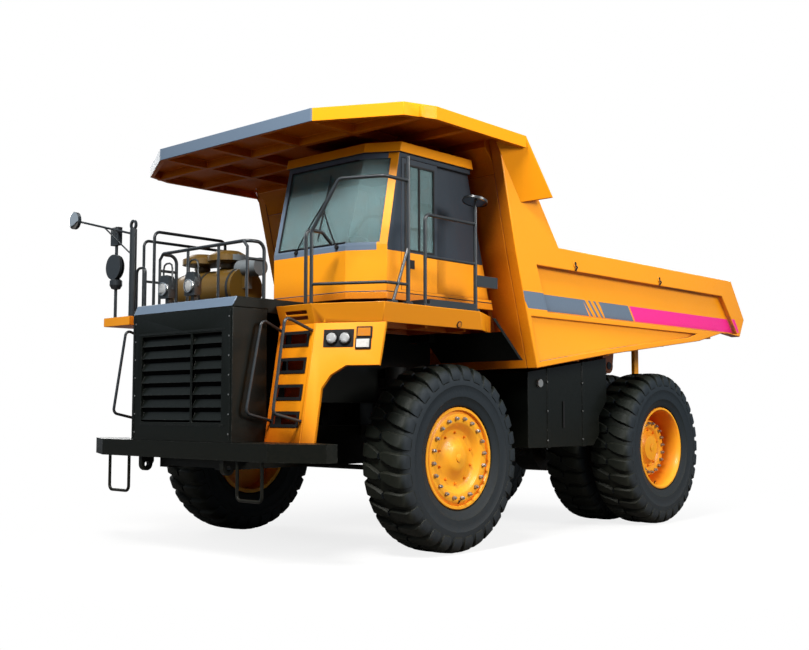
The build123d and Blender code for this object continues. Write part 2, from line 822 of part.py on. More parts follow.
def landing():
    """Right landing ahead of the deck, that carries the mirror mast."""
    low, high = LANDING_Z
    return plan_prism(
        [
            (-LANDING_IN_X, LANDING_FRONT_Y),
            (-LANDING_OUT_X, LANDING_FRONT_Y),
            (-LANDING_OUT_X, deck_edge_y(LANDING_OUT_X) + 60),
            (-LANDING_IN_X, deck_edge_y(LANDING_IN_X) + 60),
        ],
        low,
        high,
    )


def guard_y(z):
    """Front face of the slanted mudguard plate at a height."""
    return GUARD_FOOT_Y - (z - GUARD_FOOT_Z) * GUARD_SLOPE


def mudguard():
    """Left mudguard: upright splash panel beside the engine and a slanted plate behind the wheel."""
    top = deck_soffit() - SEAT_GAP
    notch_top = 2080
    beam_low = deck_soffit() - DECK_POST_TOP - 15
    panel_back = guard_y(GUARD_FOOT_Z + 200)
    panel = block((GUARD_X, GUARD_X + GUARD_T), (GUARD_FRONT_Y, panel_back), (GUARD_LOW_Z, top))
    panel -= block((GUARD_X - 1, GUARD_X + GUARD_T + 1), (-140, 140), (GUARD_LOW_Z - 1, notch_top))
    for y in DECK_POST_YS:
        panel -= block((GUARD_X - 1, GUARD_X + GUARD_T + 1), (y - 20, y + 120), (beam_low, top + 1))
    outer_x = DECK_HALF_W - 50
    plate = side_prism(
        [
            (guard_y(top), top),
            (guard_y(GUARD_FOOT_Z), GUARD_FOOT_Z),
            (guard_y(GUARD_FOOT_Z) + 60, GUARD_FOOT_Z),
            (guard_y(GUARD_FOOT_Z) + 60, GUARD_FOOT_Z + GUARD_T),
            (guard_y(GUARD_FOOT_Z) + GUARD_T, GUARD_FOOT_Z + GUARD_T),
            (guard_y(top) + GUARD_T, top),
        ],
        GUARD_X,
        outer_x,
    )
    ear_top = DECK_TOP_Z - 56
    ear = side_prism(
        [
            (guard_y(ear_top), ear_top),
            (guard_y(GUARD_FOOT_Z), GUARD_FOOT_Z),
            (guard_y(GUARD_FOOT_Z) + 60, GUARD_FOOT_Z),
            (guard_y(ear_top) + 60, ear_top),
        ],
        outer_x - GUARD_T,
        outer_x,
    )
    return joined([panel, plate, ear])


def cut_by(shape, point, normal):
    """Keeps the part of a shape behind a plane."""
    plane = Plane(origin=point, z_dir=normal)
    return split(shape, bisect_by=plane, keep=Keep.BOTTOM)


def cab_volume(inset, low, high):
    """Cab's outer form moved in by an inset, between two heights."""
    shape = block(
        (CAB_RIGHT_X + inset, CAB_LEFT_X - inset),
        (CAB_FRONT_Y + inset, CAB_REAR_LOW_Y + 400),
        (low, high),
    )
    out = radians(CAB_CHAMFER)
    rise = CAB_TOP_Z - 60 - CAB_SILL_Z
    rear_rise = CAB_TOP_Z - 50 - CAB_LOW_Z
    front_back = CAB_ROOF_FRONT_Y - CAB_FRONT_Y
    near_back = CAB_ROOF_NEAR_Y - CAB_NEAR_Y
    rear_back = CAB_REAR_HIGH_Y - CAB_REAR_LOW_Y
    across = Vector(cos(out), sin(out), 0)
    faces = [
        # point on the face, two directions in it
        ((0, CAB_FRONT_Y, CAB_SILL_Z), Vector(1, 0, 0), Vector(0, front_back, rise)),
        ((CAB_LEFT_X, CAB_NEAR_Y, CAB_SILL_Z), across, Vector(0, 0, 1)),
        ((CAB_LEFT_X, CAB_NEAR_Y, CAB_SILL_Z), across, Vector(0, near_back, rise)),
        ((0, CAB_REAR_LOW_Y, CAB_LOW_Z), Vector(-1, 0, 0), Vector(0, rear_back, rear_rise)),
    ]
    for point, first, second in faces:
        normal = first.cross(second).normalized()
        shape = cut_by(shape, Vector(*point) - normal * inset, normal)
    return shape


def door_zone():
    """Slot in the left wall that the sliding door lies in, its sill the door's runner."""
    return block(
        (CAB_LEFT_X - DOOR_T - RUNNING, CAB_LEFT_X + 50),
        (DOOR_FRONT_Y - RUNNING, CAB_REAR_LOW_Y + 100),
        (DOOR_LOW_Z - SEAT_GAP, DOOR_TOP_Z + RUNNING),
    )


def window_regions():
    """Openings in the cab's walls by name."""
    low = CAB_SILL_Z + 30
    high = CAB_EAVES_Z - 70
    front_x = (CAB_RIGHT_X + 80, CAB_LEFT_X - 80)
    front_y = (CAB_FRONT_Y - 50, CAB_NEAR_Y + 170)
    right_x = (CAB_RIGHT_X - 10, CAB_RIGHT_X + 100)
    rear_x = (CAB_RIGHT_X + 120, CAB_LEFT_X - 170)
    return {
        "windshield": block(front_x, front_y, (low, high)),
        "cab_glass_right": block(right_x, (-620, 380), (low, high)),
        "cab_glass_rear": block(rear_x, (430, 1000), (low + 60, high - 60)),
    }


def cab_body():
    """Cab walls with windows and the doorway cut."""
    low = CAB_LOW_Z + CAB_FLOOR
    high = CAB_EAVES_Z
    shell = cab_volume(0, low, high) - cab_volume(CAB_WALL, low - 1, high + 1)
    inner_side = block(
        (CAB_LEFT_X - DOOR_T - CAB_WALL, CAB_LEFT_X - 1),
        (DOOR_FRONT_Y - 60, CAB_REAR_LOW_Y + 200),
        (low, high),
    ) & cab_volume(0, low, high)
    shell = shell + inner_side - door_zone()
    doorway = block(
        (CAB_LEFT_X - 200, CAB_LEFT_X + 50),
        (DOOR_FRONT_Y + 40, DOOR_BACK_Y - 40),
        (DOOR_LOW_Z + 30, DOOR_TOP_Z - 40),
    )
    shell -= doorway
    for region in window_regions().values():
        shell -= region
    return shell


def cab_pane(region):
    """Glass pane set in one of the openings."""
    low = CAB_LOW_Z + CAB_FLOOR
    outer = cab_volume(GLASS_INSET, low, CAB_EAVES_Z)
    inner = cab_volume(GLASS_INSET + GLASS_T, low - 1, CAB_EAVES_Z + 1)
    return (outer - inner) & region


def cab_door():
    """Sliding door with its window cut."""
    panel = block((CAB_LEFT_X - DOOR_T, CAB_LEFT_X), (DOOR_FRONT_Y, DOOR_BACK_Y), (DOOR_LOW_Z, DOOR_TOP_Z))
    window = block(
        (CAB_LEFT_X - 100, CAB_LEFT_X + 10),
        (DOOR_FRONT_Y + 50, DOOR_BACK_Y - 50),
        (CAB_SILL_Z - 40, DOOR_TOP_Z - 60),
    )
    grip = pipe(
        [
            (CAB_LEFT_X - 5, DOOR_FRONT_Y + 70, 3280),
            (CAB_LEFT_X + 45, DOOR_FRONT_Y + 70, 3280),
            (CAB_LEFT_X + 45, DOOR_FRONT_Y + 70, 3420),
            (CAB_LEFT_X - 5, DOOR_FRONT_Y + 70, 3420),
        ],
        9,
        15,
    )
    pane = block(
        (CAB_LEFT_X - GLASS_INSET - GLASS_T, CAB_LEFT_X - GLASS_INSET),
        (DOOR_FRONT_Y + 50, DOOR_BACK_Y - 50),
        (CAB_SILL_Z - 40, DOOR_TOP_Z - 60),
    )
    return joined([panel - window, grip]), pane


def cab_floor():
    """Floor plate on four mounts that stand on the deck and the hood."""
    plate = cab_volume(0, CAB_LOW_Z, CAB_LOW_Z + CAB_FLOOR)
    feet = []
    for x in (1050, 1750):
        for y in (-900, 700):
            feet.append(block((x - 50, x + 50), (y - 50, y + 50), (DECK_TOP_Z, CAB_LOW_Z + 5)))
    return joined([plate] + feet)


def cab_roof():
    """Roof with a small overhang."""
    return cab_volume(-ROOF_OVERHANG, CAB_EAVES_Z, CAB_TOP_Z)


def seat():
    """Driver's seat on its pedestal."""
    x = 1080
    y = 250
    floor = CAB_LOW_Z + CAB_FLOOR
    pedestal = block((x - 180, x + 180), (y - 200, y + 180), (floor, floor + 330))
    cushion = block((x - 250, x + 250), (y - 270, y + 230), (floor + 330, floor + 450))
    back = side_prism(
        [
            (y + 130, floor + 440),
            (y + 240, floor + 1050),
            (y + 340, floor + 1050),
            (y + 240, floor + 440),
        ],
        x - 230,
        x + 230,
    )
    return joined([pedestal, cushion, back])


def dashboard():
    """Instrument panel with steering column and wheel."""
    floor = CAB_LOW_Z + CAB_FLOOR
    front = CAB_FRONT_Y + CAB_WALL
    panel = side_prism(
        [
            (front, floor),
            (front, CAB_SILL_Z - 20),
            (front + 260, CAB_SILL_Z - 20),
            (front + 330, CAB_SILL_Z - 140),
            (front + 200, floor),
        ],
        CAB_RIGHT_X + CAB_WALL + 60,
        1420,
    )
    hub = (1080, front + 560, CAB_SILL_Z + 30)
    column = bar((1080, front + 240, CAB_SILL_Z - 200), hub, 30)
    axis = Vector(0, 320, 230)
    section = [(210 + y, z) for y, z in hexagon(14, 0, 0)]
    rim = Plane(origin=hub, z_dir=axis) * revolve(Plane.XZ * Polygon(*section, align=None), Axis.Z)
    spokes = []
    for angle in (0, 120, 240):
        plane = Plane(origin=hub, z_dir=axis, x_dir=(1, 0, 0))
        end = plane.from_local_coords((210 * cos(radians(angle)), 210 * sin(radians(angle)), 0))
        spokes.append(bar(hub, tuple(end), 11))
    return joined([panel, column, rim] + spokes)


def ladder_rail(x, foot_y, top_y):
    """One handrail in front of the stair panel."""
    foot_z = 1600
    top_z = 2620
    end_z = deck_soffit() - 90
    rail = pipe(
        [
            (x, panel_y(foot_z - 90) + 30, foot_z - 90),
            (x, foot_y, foot_z),
            (x, top_y, top_z),
            (x, panel_y(end_z) + 30, end_z),
        ],
        RAIL_R,
        60,
    )
    rake = radians(PANEL_RAKE)
    return cut_by(rail, (0, PANEL_FOOT_Y, BUMPER_TOP_Z), (0, cos(rake), -sin(rake)))


def deck_edge_y(x):
    """Y of the deck's front edge at a distance from the middle."""
    return DECK_FRONT_Y + max(0, abs(x) - FOLD_X) * tan(radians(CHAMFER_ANGLE))


def left_rails():
    """Ladder rails and railings on the cab side, with the step under the door."""
    top = DECK_TOP_Z
    rail_x = DECK_HALF_W - 30
    tall_y = -1020
    front_y = -740
    back_y = 150
    parts = [
        ladder_rail(LADDER_IN_X, -2250, -2040),
        ladder_rail(LADDER_OUT_X, -2280, -2120),
        pipe(
            [(1370, -1740, top), (1370, -1740, 3600), (1370, -1500, 3600), (1370, -1350, 3480)],
            POST_R,
            80,
        ),
        pipe(
            [
                (1460, -1740, top),
                (1460, -1740, 3570),
                (1740, deck_edge_y(1740) + 60, 4130),
                (rail_x, deck_edge_y(rail_x) + 50, 4130),
                (rail_x, tall_y, 4130),
            ],
            POST_R,
            70,
        ),
        pipe(
            [
                (1460, -1740, 2990),
                (1560, deck_edge_y(1560) + 45, 2990),
                (rail_x, deck_edge_y(rail_x) + 60, 2990),
                (rail_x, tall_y, 2990),
            ],
            RAIL_R,
            40,
        ),
        bar((rail_x, tall_y, top), (rail_x, tall_y, 4400), POST_R + 3),
        bar((rail_x, tall_y, 3400), (rail_x, tall_y - 240, top + 12), RAIL_R),
        pipe([(rail_x, front_y, top), (rail_x, front_y, 3800), (rail_x, back_y, 3800)], POST_R, 70),
        bar((rail_x, back_y, top), (rail_x, back_y, 4010), POST_R + 3),
        bar((rail_x, front_y, 3330), (rail_x, back_y, 3330), RAIL_R),
        block((rail_x - 30, rail_x + 27), (back_y, 540), (3070, 3200)),
        block((CAB_LEFT_X + 110, rail_x + 20), (front_y + 60, back_y - 10), (top, top + 80)),
    ]
    for y in (tall_y - 240, tall_y, front_y, back_y):
        parts.append(block((rail_x - 45, rail_x + 25), (y - 45, y + 45), (top, top + 25)))
    return joined(parts)


def right_rails():
    """Ladder rails and railings on the side without the cab."""
    top = DECK_TOP_Z
    landing_top = LANDING_Z[1]
    rail_x = -(DECK_HALF_W - 30)
    walk_x = -1600
    pieces = [
        [ladder_rail(-LADDER_IN_X, -2250, -2040)],
        [ladder_rail(-LADDER_OUT_X, -2280, -2120)],
        [pipe(
            [
                (-1640, -1740, landing_top),
                (-1640, -1740, 3450),
                (-1830, -1740, 3450),
                (-1830, -1740, landing_top),
            ],
            RAIL_R,
            70,
        )],
        [
            pipe(
                [
                    (rail_x, deck_edge_y(rail_x) + 60, top),
                    (rail_x, deck_edge_y(rail_x) + 60, 3900),
                    (rail_x, 100, 3900),
                    (rail_x, 100, top),
                ],
                POST_R,
                80,
            ),
            bar((rail_x, deck_edge_y(rail_x) + 60, 3350), (rail_x, 100, 3350), RAIL_R),
        ],
        [pipe(
            [
                (walk_x, -1640, top),
                (walk_x, -1640, 3920),
                (walk_x, -500, 3920),
                (walk_x, -500, top),
            ],
            POST_R,
            80,
        )],
    ]
    return Compound([joined(parts) for parts in pieces])


def hood_guard():
    """Tubular guard over the front of the hood."""
    front = -2100
    back = -1860
    half = 815
    top = 3500
    parts = [pipe(
        [
            (half, back, HOOD_TOP_Z),
            (half, back, top),
            (half, front, top),
            (-half, front, top),
            (-half, back, top),
            (-half, back, HOOD_TOP_Z),
        ],
        POST_R,
        100,
    )]
    for x in (-half, -260, 310, half):
        height = top - 60 if abs(x) == half else top
        parts.append(bar((x, front, HOOD_TOP_Z), (x, front, height), RAIL_R))
    for x in (-half, half):
        parts.append(bar((x, front, 3300), (x, back, 3300), RAIL_R))
        parts.append(bar((x, front, top - 70), (x * 0.92, front, top), RAIL_R))
    return joined(parts)


def air_cleaners():
    """Lying drum with two rain-cap stacks on it and a grey canister beside them."""
    middle = HOOD_TOP_Z + SEAT_GAP + CLEANER_R
    parts = [along_x(CLEANER_R, -1540, -290, CLEANER_Y, middle)]
    parts.append(along_x(110, -400, -20, CLEANER_Y, 3370))
    parts.append(block((-330, -250), (CLEANER_Y - 60, CLEANER_Y + 60), (middle, 3300)))
    parts.append(block((-1440, -1340), (CLEANER_Y - 120, CLEANER_Y + 120), (DECK_TOP_Z + SEAT_GAP, middle)))
    stack = [
        (0, middle),
        (200, middle),
        (200, middle + 180),
        (95, 3400),
        (95, 3450),
        (CLEANER_CAP_R, 3480),
        (CLEANER_CAP_R, 3550),
        (150, 3610),
        (0, 3610),
    ]
    for x in CLEANER_XS:
        parts.append(Pos(x, CLEANER_Y, 0) * revolve(Plane.XZ * Polygon(*stack, align=None), Axis.Z))
    return joined(parts)


def mirrors():
    """Right mirrors on the landing's mast and post, and the left one on the deck railing."""
    foot = LANDING_Z[1] + SEAT_GAP
    head = (-2360, -2330, 4060)
    mast = bar((-MAST_X, MAST_Y, foot), (-MAST_X, MAST_Y, MAST_TOP_Z), 45)
    eye = along_y(65, MAST_Y - 15, MAST_Y + 15, -MAST_X, MAST_TOP_Z + 55) - along_y(
        40, MAST_Y - 20, MAST_Y + 20, -MAST_X, MAST_TOP_Z + 55
    )
    arm = bar((-MAST_X, MAST_Y, MAST_TOP_Z - 60), head, 14)
    stay = bar((-MAST_X, MAST_Y, 3560), (-1950, (MAST_Y + head[1]) / 2, 3950), 10)
    disc = Pos(*head) * Rot(90, 0, 0) * Cylinder(MIRROR_R, 40)
    post_x = -1860
    post_y = -2030
    post = bar((post_x, post_y, foot), (post_x, post_y, 3960), POST_R)
    plate = block((post_x - 85, post_x + 85), (post_y - 35, post_y + 25), (3720, 3950))
    round_mirror = along_y(160, post_y - 50, post_y - 15, post_x, 3440)
    bowl_side = [(0, 3150), (55, 3165), (80, 3210), (80, 3270), (0, 3330)]
    bowl = revolve(Plane.XZ * Polygon(*bowl_side, align=None), Axis.Z)
    right = joined([mast, eye, arm, stay, disc])
    right_post = joined([post, plate, round_mirror, Pos(post_x, post_y, 0) * bowl])
    left_x = DECK_HALF_W - 30
    left_y = 150
    stub = bar((left_x, left_y, 4010 + SEAT_GAP), (left_x, left_y, 4072), 14)
    left = joined([stub, Pos(left_x, left_y, 4075) * Rot(-14, 0, 0) * Cylinder(150, 25)])
    return Compound([right, right_post, left])


def lamps():
    """Head lamps, signal lamps and work lamps as separate lenses."""
    pieces = []
    plane = lamp_plane()
    for side in SIDES.values():
        for s in (215, 365):
            u, v = lamp_point(s, 2400)
            lens = plane * Pos(u, v, 18.5) * Cylinder(LAMP_R * 0.75, 36)
            pieces.append(mirrored(lens, side))
        for z in (2340, 2460):
            u, v = lamp_point(575, z)
            lens = plane * Pos(u, v, 12.5) * Box(150, 100, 24)
            pieces.append(mirrored(lens, side))
        marker = fascia_planes()[2]
        seat_z = 2610
        seat_x = DECK_HALF_W - (DECK_TOP_Z - seat_z) * FASCIA_SETBACK / DECK_FASCIA
        face = Plane(origin=(seat_x, -120, seat_z), z_dir=marker[1])
        pieces.append(mirrored(face * Pos(0, 0, 9.5) * Cylinder(34, 18), side))
    for x in WORK_LAMP_XS:
        foot = block((x - 30, x + 30), (WORK_LAMP_Y - 10, WORK_LAMP_Y + 50), (HOOD_TOP_Z + SEAT_GAP, 2950))
        housing = prism(
            Plane.XZ.offset(-WORK_LAMP_Y - 55),
            [
                (x - 95, 2930),
                (x + 95, 2930),
                (x + 95, 3130),
                (x + 60, 3200),
                (x - 60, 3200),
                (x - 95, 3130),
            ],
            110,
        )
        lens = along_y(LAMP_R, WORK_LAMP_Y - 85, WORK_LAMP_Y, x, 3040)
        hoop = pipe(
            [
                (x - 85, WORK_LAMP_Y, 3100),
                (x - 85, WORK_LAMP_Y, 3345),
                (x + 85, WORK_LAMP_Y, 3345),
                (x + 85, WORK_LAMP_Y, 3100),
            ],
            11,
            75,
        )
        pieces.append(joined([foot, housing, lens, hoop]))
    return Compound(pieces)


def tank_top(y):
    """Height of the tank's top, parallel to the body floor and clear of its ribs."""
    return floor_low(y) - RIB_DEPTH - TANK_GAP


def tank():
    """Tank beside the frame, on two brackets, its upper part reaching back over the rear wheel."""
    reach_y = TANK_BACK_Y + TANK_REACH
    outline = [
        (TANK_FRONT_Y, TANK_LOW_Z),
        (TANK_BACK_Y - 150, TANK_LOW_Z),
        (TANK_BACK_Y, TANK_LOW_Z + 150),
        (TANK_BACK_Y, 1560),
        (reach_y, 1760),
        (reach_y, tank_top(reach_y)),
        (TANK_FRONT_Y, tank_top(TANK_FRONT_Y)),
    ]
    shell = side_prism(outline, TANK_IN_X, TANK_OUT_X)
    for y in (TANK_FRONT_Y + 420, TANK_FRONT_Y + 1250):
        strap = side_prism(
            [
                (y, TANK_LOW_Z - 8),
                (y + 60, TANK_LOW_Z - 8),
                (y + 60, tank_top(y + 60) + 8),
                (y, tank_top(y) + 8),
            ],
            TANK_IN_X + 100,
            TANK_OUT_X + 8,
        )
        shell += strap
    front = block((RAIL_OUT_X, TANK_IN_X + 10), (TANK_FRONT_Y + 20, TANK_FRONT_Y + 140), (1180, 1450))
    rear = block((RAIL_OUT_X, TANK_IN_X + 10), (2600, 2720), (1180, 1370))
    return joined([shell, front, rear])


def body_side():
    """Left wall of the tipping body, with the long recess and the rise to the canopy."""
    outline = [
        (1330, 2150),
        (2980, 2380),
        (5650, 2690),
        (6510, 2870),
        (7050, 2820),
        (TAIL_END, 3110),
        (6770, RAIL_TOP_Z),
        (1840, RAIL_TOP_Z),
        (1450, 4220),
        (CANOPY_BACK_Y, CANOPY_TOP_Z),
        (CHEEK_FRONT_Y, CANOPY_TOP_Z),
        (760, 4170),
        (910, 3580),
        (1090, 2980),
        (1230, 2490),
    ]
    wall = side_prism(outline, BODY_HALF_W - BODY_WALL, BODY_HALF_W)
    pocket = [(1580, 2860), (6980, 2860), (6430, RAIL_TOP_Z - RAIL_BOX_H), (1350, RAIL_TOP_Z - RAIL_BOX_H)]
    lower = [(1390, 2235), (2980, 2455), (5300, 2727), (5520, 2790), (1225, 2790), (1295, 2500)]
    return wall - side_prism(pocket, BODY_HALF_W - RECESS, BODY_HALF_W + 10) - side_prism(
        lower, BODY_HALF_W - LOWER_RECESS, BODY_HALF_W + 10
    )


def body_floor():
    """Body floor with cross ribs, bolsters, pivot ears and hoist lugs."""
    tail_y = 6950
    kick_y = 5750
    kick_z = floor_low(kick_y)
    tail_z = 2960
    floor = side_prism(
        [
            (FLOOR_START_Y, floor_low(FLOOR_START_Y)),
            (kick_y, kick_z),
            (tail_y, tail_z),
            (tail_y, tail_z + FLOOR_T),
            (kick_y, kick_z + FLOOR_T),
            (FLOOR_START_Y, floor_low(FLOOR_START_Y) + FLOOR_T),
        ],
        -BODY_INNER_X,
        BODY_INNER_X,
    )
    parts = [floor]
    for k in range(RIB_COUNT):
        y = RIB_FIRST_Y + k * RIB_PITCH
        low = floor_low(y) if y < kick_y else kick_z + (y - kick_y) * (tail_z - kick_z) / (tail_y - kick_y)
        if k == 5:
            continue
        parts.append(block(
            (-BODY_INNER_X, BODY_INNER_X), (y - RIB_W / 2, y + RIB_W / 2), (low - RIB_DEPTH, low + 20)
        ))
    for side in SIDES.values():
        inner = side * (RAIL_IN_X + 10)
        outer = side * (RAIL_IN_X + 10 + BOLSTER_W)
        parts.append(side_prism(
            [
                (BOLSTER_FRONT_Y, floor_low(BOLSTER_FRONT_Y) - BOLSTER_DEPTH),
                (BOLSTER_BACK_Y, floor_low(BOLSTER_BACK_Y) - BOLSTER_DEPTH),
                (BOLSTER_BACK_Y, floor_low(BOLSTER_BACK_Y) + 20),
                (BOLSTER_FRONT_Y, floor_low(BOLSTER_FRONT_Y) + 20),
            ],
            inner,
            outer,
        ))
        ear = side_prism(
            [
                (PIVOT_Y - 300, floor_low(PIVOT_Y - 300) + 20),
                (PIVOT_Y - 110, PIVOT_Z - 40),
                (PIVOT_Y + 110, PIVOT_Z - 40),
                (PIVOT_Y + 200, floor_low(PIVOT_Y + 200) + 20),
            ],
            side * EAR_IN_X,
            side * EAR_OUT_X,
        )
        ring = along_x(125, side * EAR_IN_X, side * EAR_OUT_X, PIVOT_Y, PIVOT_Z)
        parts.append(ear)
        parts.append(ring)
        for offset_x in (-1, 1):
            near = side * HOIST_X + offset_x * (HOIST_EYE_W / 2 + RUNNING)
            far = near + offset_x * 30
            parts.append(side_prism(
                [
                    (HOIST_HEAD_Y - 180, floor_low(HOIST_HEAD_Y - 180) + 20),
                    (HOIST_HEAD_Y - 70, HOIST_HEAD_Z - 60),
                    (HOIST_HEAD_Y + 70, HOIST_HEAD_Z - 60),
                    (HOIST_HEAD_Y + 180, floor_low(HOIST_HEAD_Y + 180) + 20),
                ],
                near,
                far,
            ))
    shape = joined(parts)
    shape -= along_x(PIVOT_PIN_R + FIT, -EAR_OUT_X - 50, EAR_OUT_X + 50, PIVOT_Y, PIVOT_Z)
    return shape


def front_wall():
    """Raked front wall with upright stiffeners on its front face."""
    outline = [
        (1330, 2150),
        (FLOOR_START_Y, 2210),
        (FLOOR_START_Y, 2500),
        (1090 + FRONT_WALL_T, 3200),
        (910 + FRONT_WALL_T, 3820),
        (WALL_TOP_Y + WALL_TOP_T, WALL_TOP_Z),
        (WALL_TOP_Y, WALL_TOP_Z),
        (790, 4070),
        (910, 3580),
        (1090, 2980),
        (1230, 2490),
    ]
    sheet = side_prism(outline, -BODY_INNER_X, BODY_INNER_X)
    depth = 60
    rib = [
        (1290, 2330),
        (1230 - depth, 2490),
        (1090 - depth, 2980),
        (910 - depth, 3580),
        (790 - depth, 4070),
        (830, 4070),
        (950, 3580),
        (1130, 2980),
    ]
    ribs = [side_prism(rib, x - 50, x + 50) for x in (-1650, -550, 550, 1650)]
    return joined([sheet] + ribs)


def canopy():
    """Canopy over the cab: plate with a fascia lip, ribs below and the transition to the wall."""
    half = [
        (0, CANOPY_FRONT_Y),
        (CANOPY_FLAT_X, CANOPY_FRONT_Y),
        (CANOPY_CORNER_X, CANOPY_CORNER_Y),
        (CANOPY_WIDE_X, CANOPY_WIDE_Y),
        (CANOPY_BACK_X, CANOPY_BACK_Y),
        (BODY_HALF_W, CHEEK_FRONT_Y),
        (0, CHEEK_FRONT_Y),
    ]
    low = CANOPY_TOP_Z - CANOPY_FASCIA
    left = plan_prism(half, CANOPY_TOP_Z - CANOPY_PLATE, CANOPY_TOP_Z)
    inner = [
        (0, CANOPY_FRONT_Y + CANOPY_LIP),
        (CANOPY_FLAT_X - 15, CANOPY_FRONT_Y + CANOPY_LIP),
        (CANOPY_CORNER_X - CANOPY_LIP, CANOPY_CORNER_Y + 30),
        (CANOPY_WIDE_X - CANOPY_LIP, CANOPY_WIDE_Y + 10),
        (CANOPY_BACK_X - CANOPY_LIP, 1000),
        (0, 1000),
    ]
    lip = plan_prism(half, low, CANOPY_TOP_Z - 10) - plan_prism(inner, low - 1, CANOPY_TOP_Z)
    ear_face = [
        (BODY_HALF_W, CHEEK_FRONT_Y, CANOPY_TOP_Z - 100),
        (CANOPY_BACK_X, CANOPY_BACK_Y, CANOPY_TOP_Z - 5),
        (CANOPY_BACK_X, 1430, 4270),
        (BODY_HALF_W, 1060, 4180),
    ]
    ear = ConvexPolyhedron(ear_face + [(x, y - 40, z) for x, y, z in ear_face])
    parts = [left, lip, ear]
    for x in (450, 1350):
        parts.append(block((x - 40, x + 40), (CANOPY_FRONT_Y + 30, 510), (low, CANOPY_TOP_Z - 20)))
    for y in (-1000, -250):
        parts.append(block((0, CANOPY_BACK_X - 20), (y - 40, y + 40), (low, CANOPY_TOP_Z - 20)))
    half_shape = joined(parts)
    rear = side_prism(
        [
            (500, low),
            (500, CANOPY_TOP_Z),
            (560, CANOPY_TOP_Z),
            (WALL_TOP_Y + WALL_TOP_T - 10, WALL_TOP_Z + 100),
            (WALL_TOP_Y + WALL_TOP_T, WALL_TOP_Z),
            (WALL_TOP_Y, WALL_TOP_Z),
            (WALL_TOP_Y - 40, WALL_TOP_Z + 150),
        ],
        -BODY_INNER_X,
        BODY_INNER_X,
    )
    return joined([half_shape, mirror(half_shape, Plane.YZ), rear])


def rock_ejector():
    """Bar that hangs from the body between the left twin tyres."""
    x = (REAR_OUTER_X + REAR_INNER_X) / 2
    y = WHEELBASE + 400
    return side_prism(
        [
            (y - 60, floor_low(y - 60)),
            (y - 60, 2050),
            (y - 20, 1950),
            (y + 40, 1950),
            (y + 60, 2050),
            (y + 60, floor_low(y + 60)),
        ],
        x - 30,
        x + 30,
    )


def hoist_axis():
    """Closed length and slope of a hoist cylinder."""
    run = HOIST_HEAD_Y - HOIST_FOOT_Y
    rise = HOIST_HEAD_Z - HOIST_FOOT_Z
    return hypot(run, rise), degrees(atan2(rise, run))


def hoist(side):
    """Barrel and rod of one hoist cylinder, made along +Y from the foot pin, then tilted."""
    length, slope = hoist_axis()
    start = 120
    tube = Pos(0, (start - 20 + HOIST_BARREL_LENGTH) / 2, 0) * Rot(90, 0, 0) * Cylinder(
        HOIST_BARREL_R, HOIST_BARREL_LENGTH - start + 20
    )
    cavity = Pos(0, (start + HOIST_BARREL_LENGTH + 10) / 2, 0) * Rot(90, 0, 0) * Cylinder(
        HOIST_ROD_R + FIT, HOIST_BARREL_LENGTH + 10 - start
    )
    eye = along_x(HOIST_EYE_R, -HOIST_EYE_W / 2, HOIST_EYE_W / 2, 0, 0)
    neck = block((-45, 45), (0, start - 10), (-70, 70))
    bore = along_x(HOIST_PIN_R + FIT, -HOIST_EYE_W, HOIST_EYE_W, 0, 0)
    barrel = joined([tube, eye, neck]) - cavity - bore
    rod = Pos(0, (start + 8 + length) / 2, 0) * Rot(90, 0, 0) * Cylinder(HOIST_ROD_R, length - start - 8)
    head = along_x(80, -HOIST_EYE_W / 2, HOIST_EYE_W / 2, length, 0)
    seat_at = Pos(side * HOIST_X, HOIST_FOOT_Y, HOIST_FOOT_Z) * Rot(slope, 0, 0)
    return seat_at * barrel, seat_at * joined([rod, head])


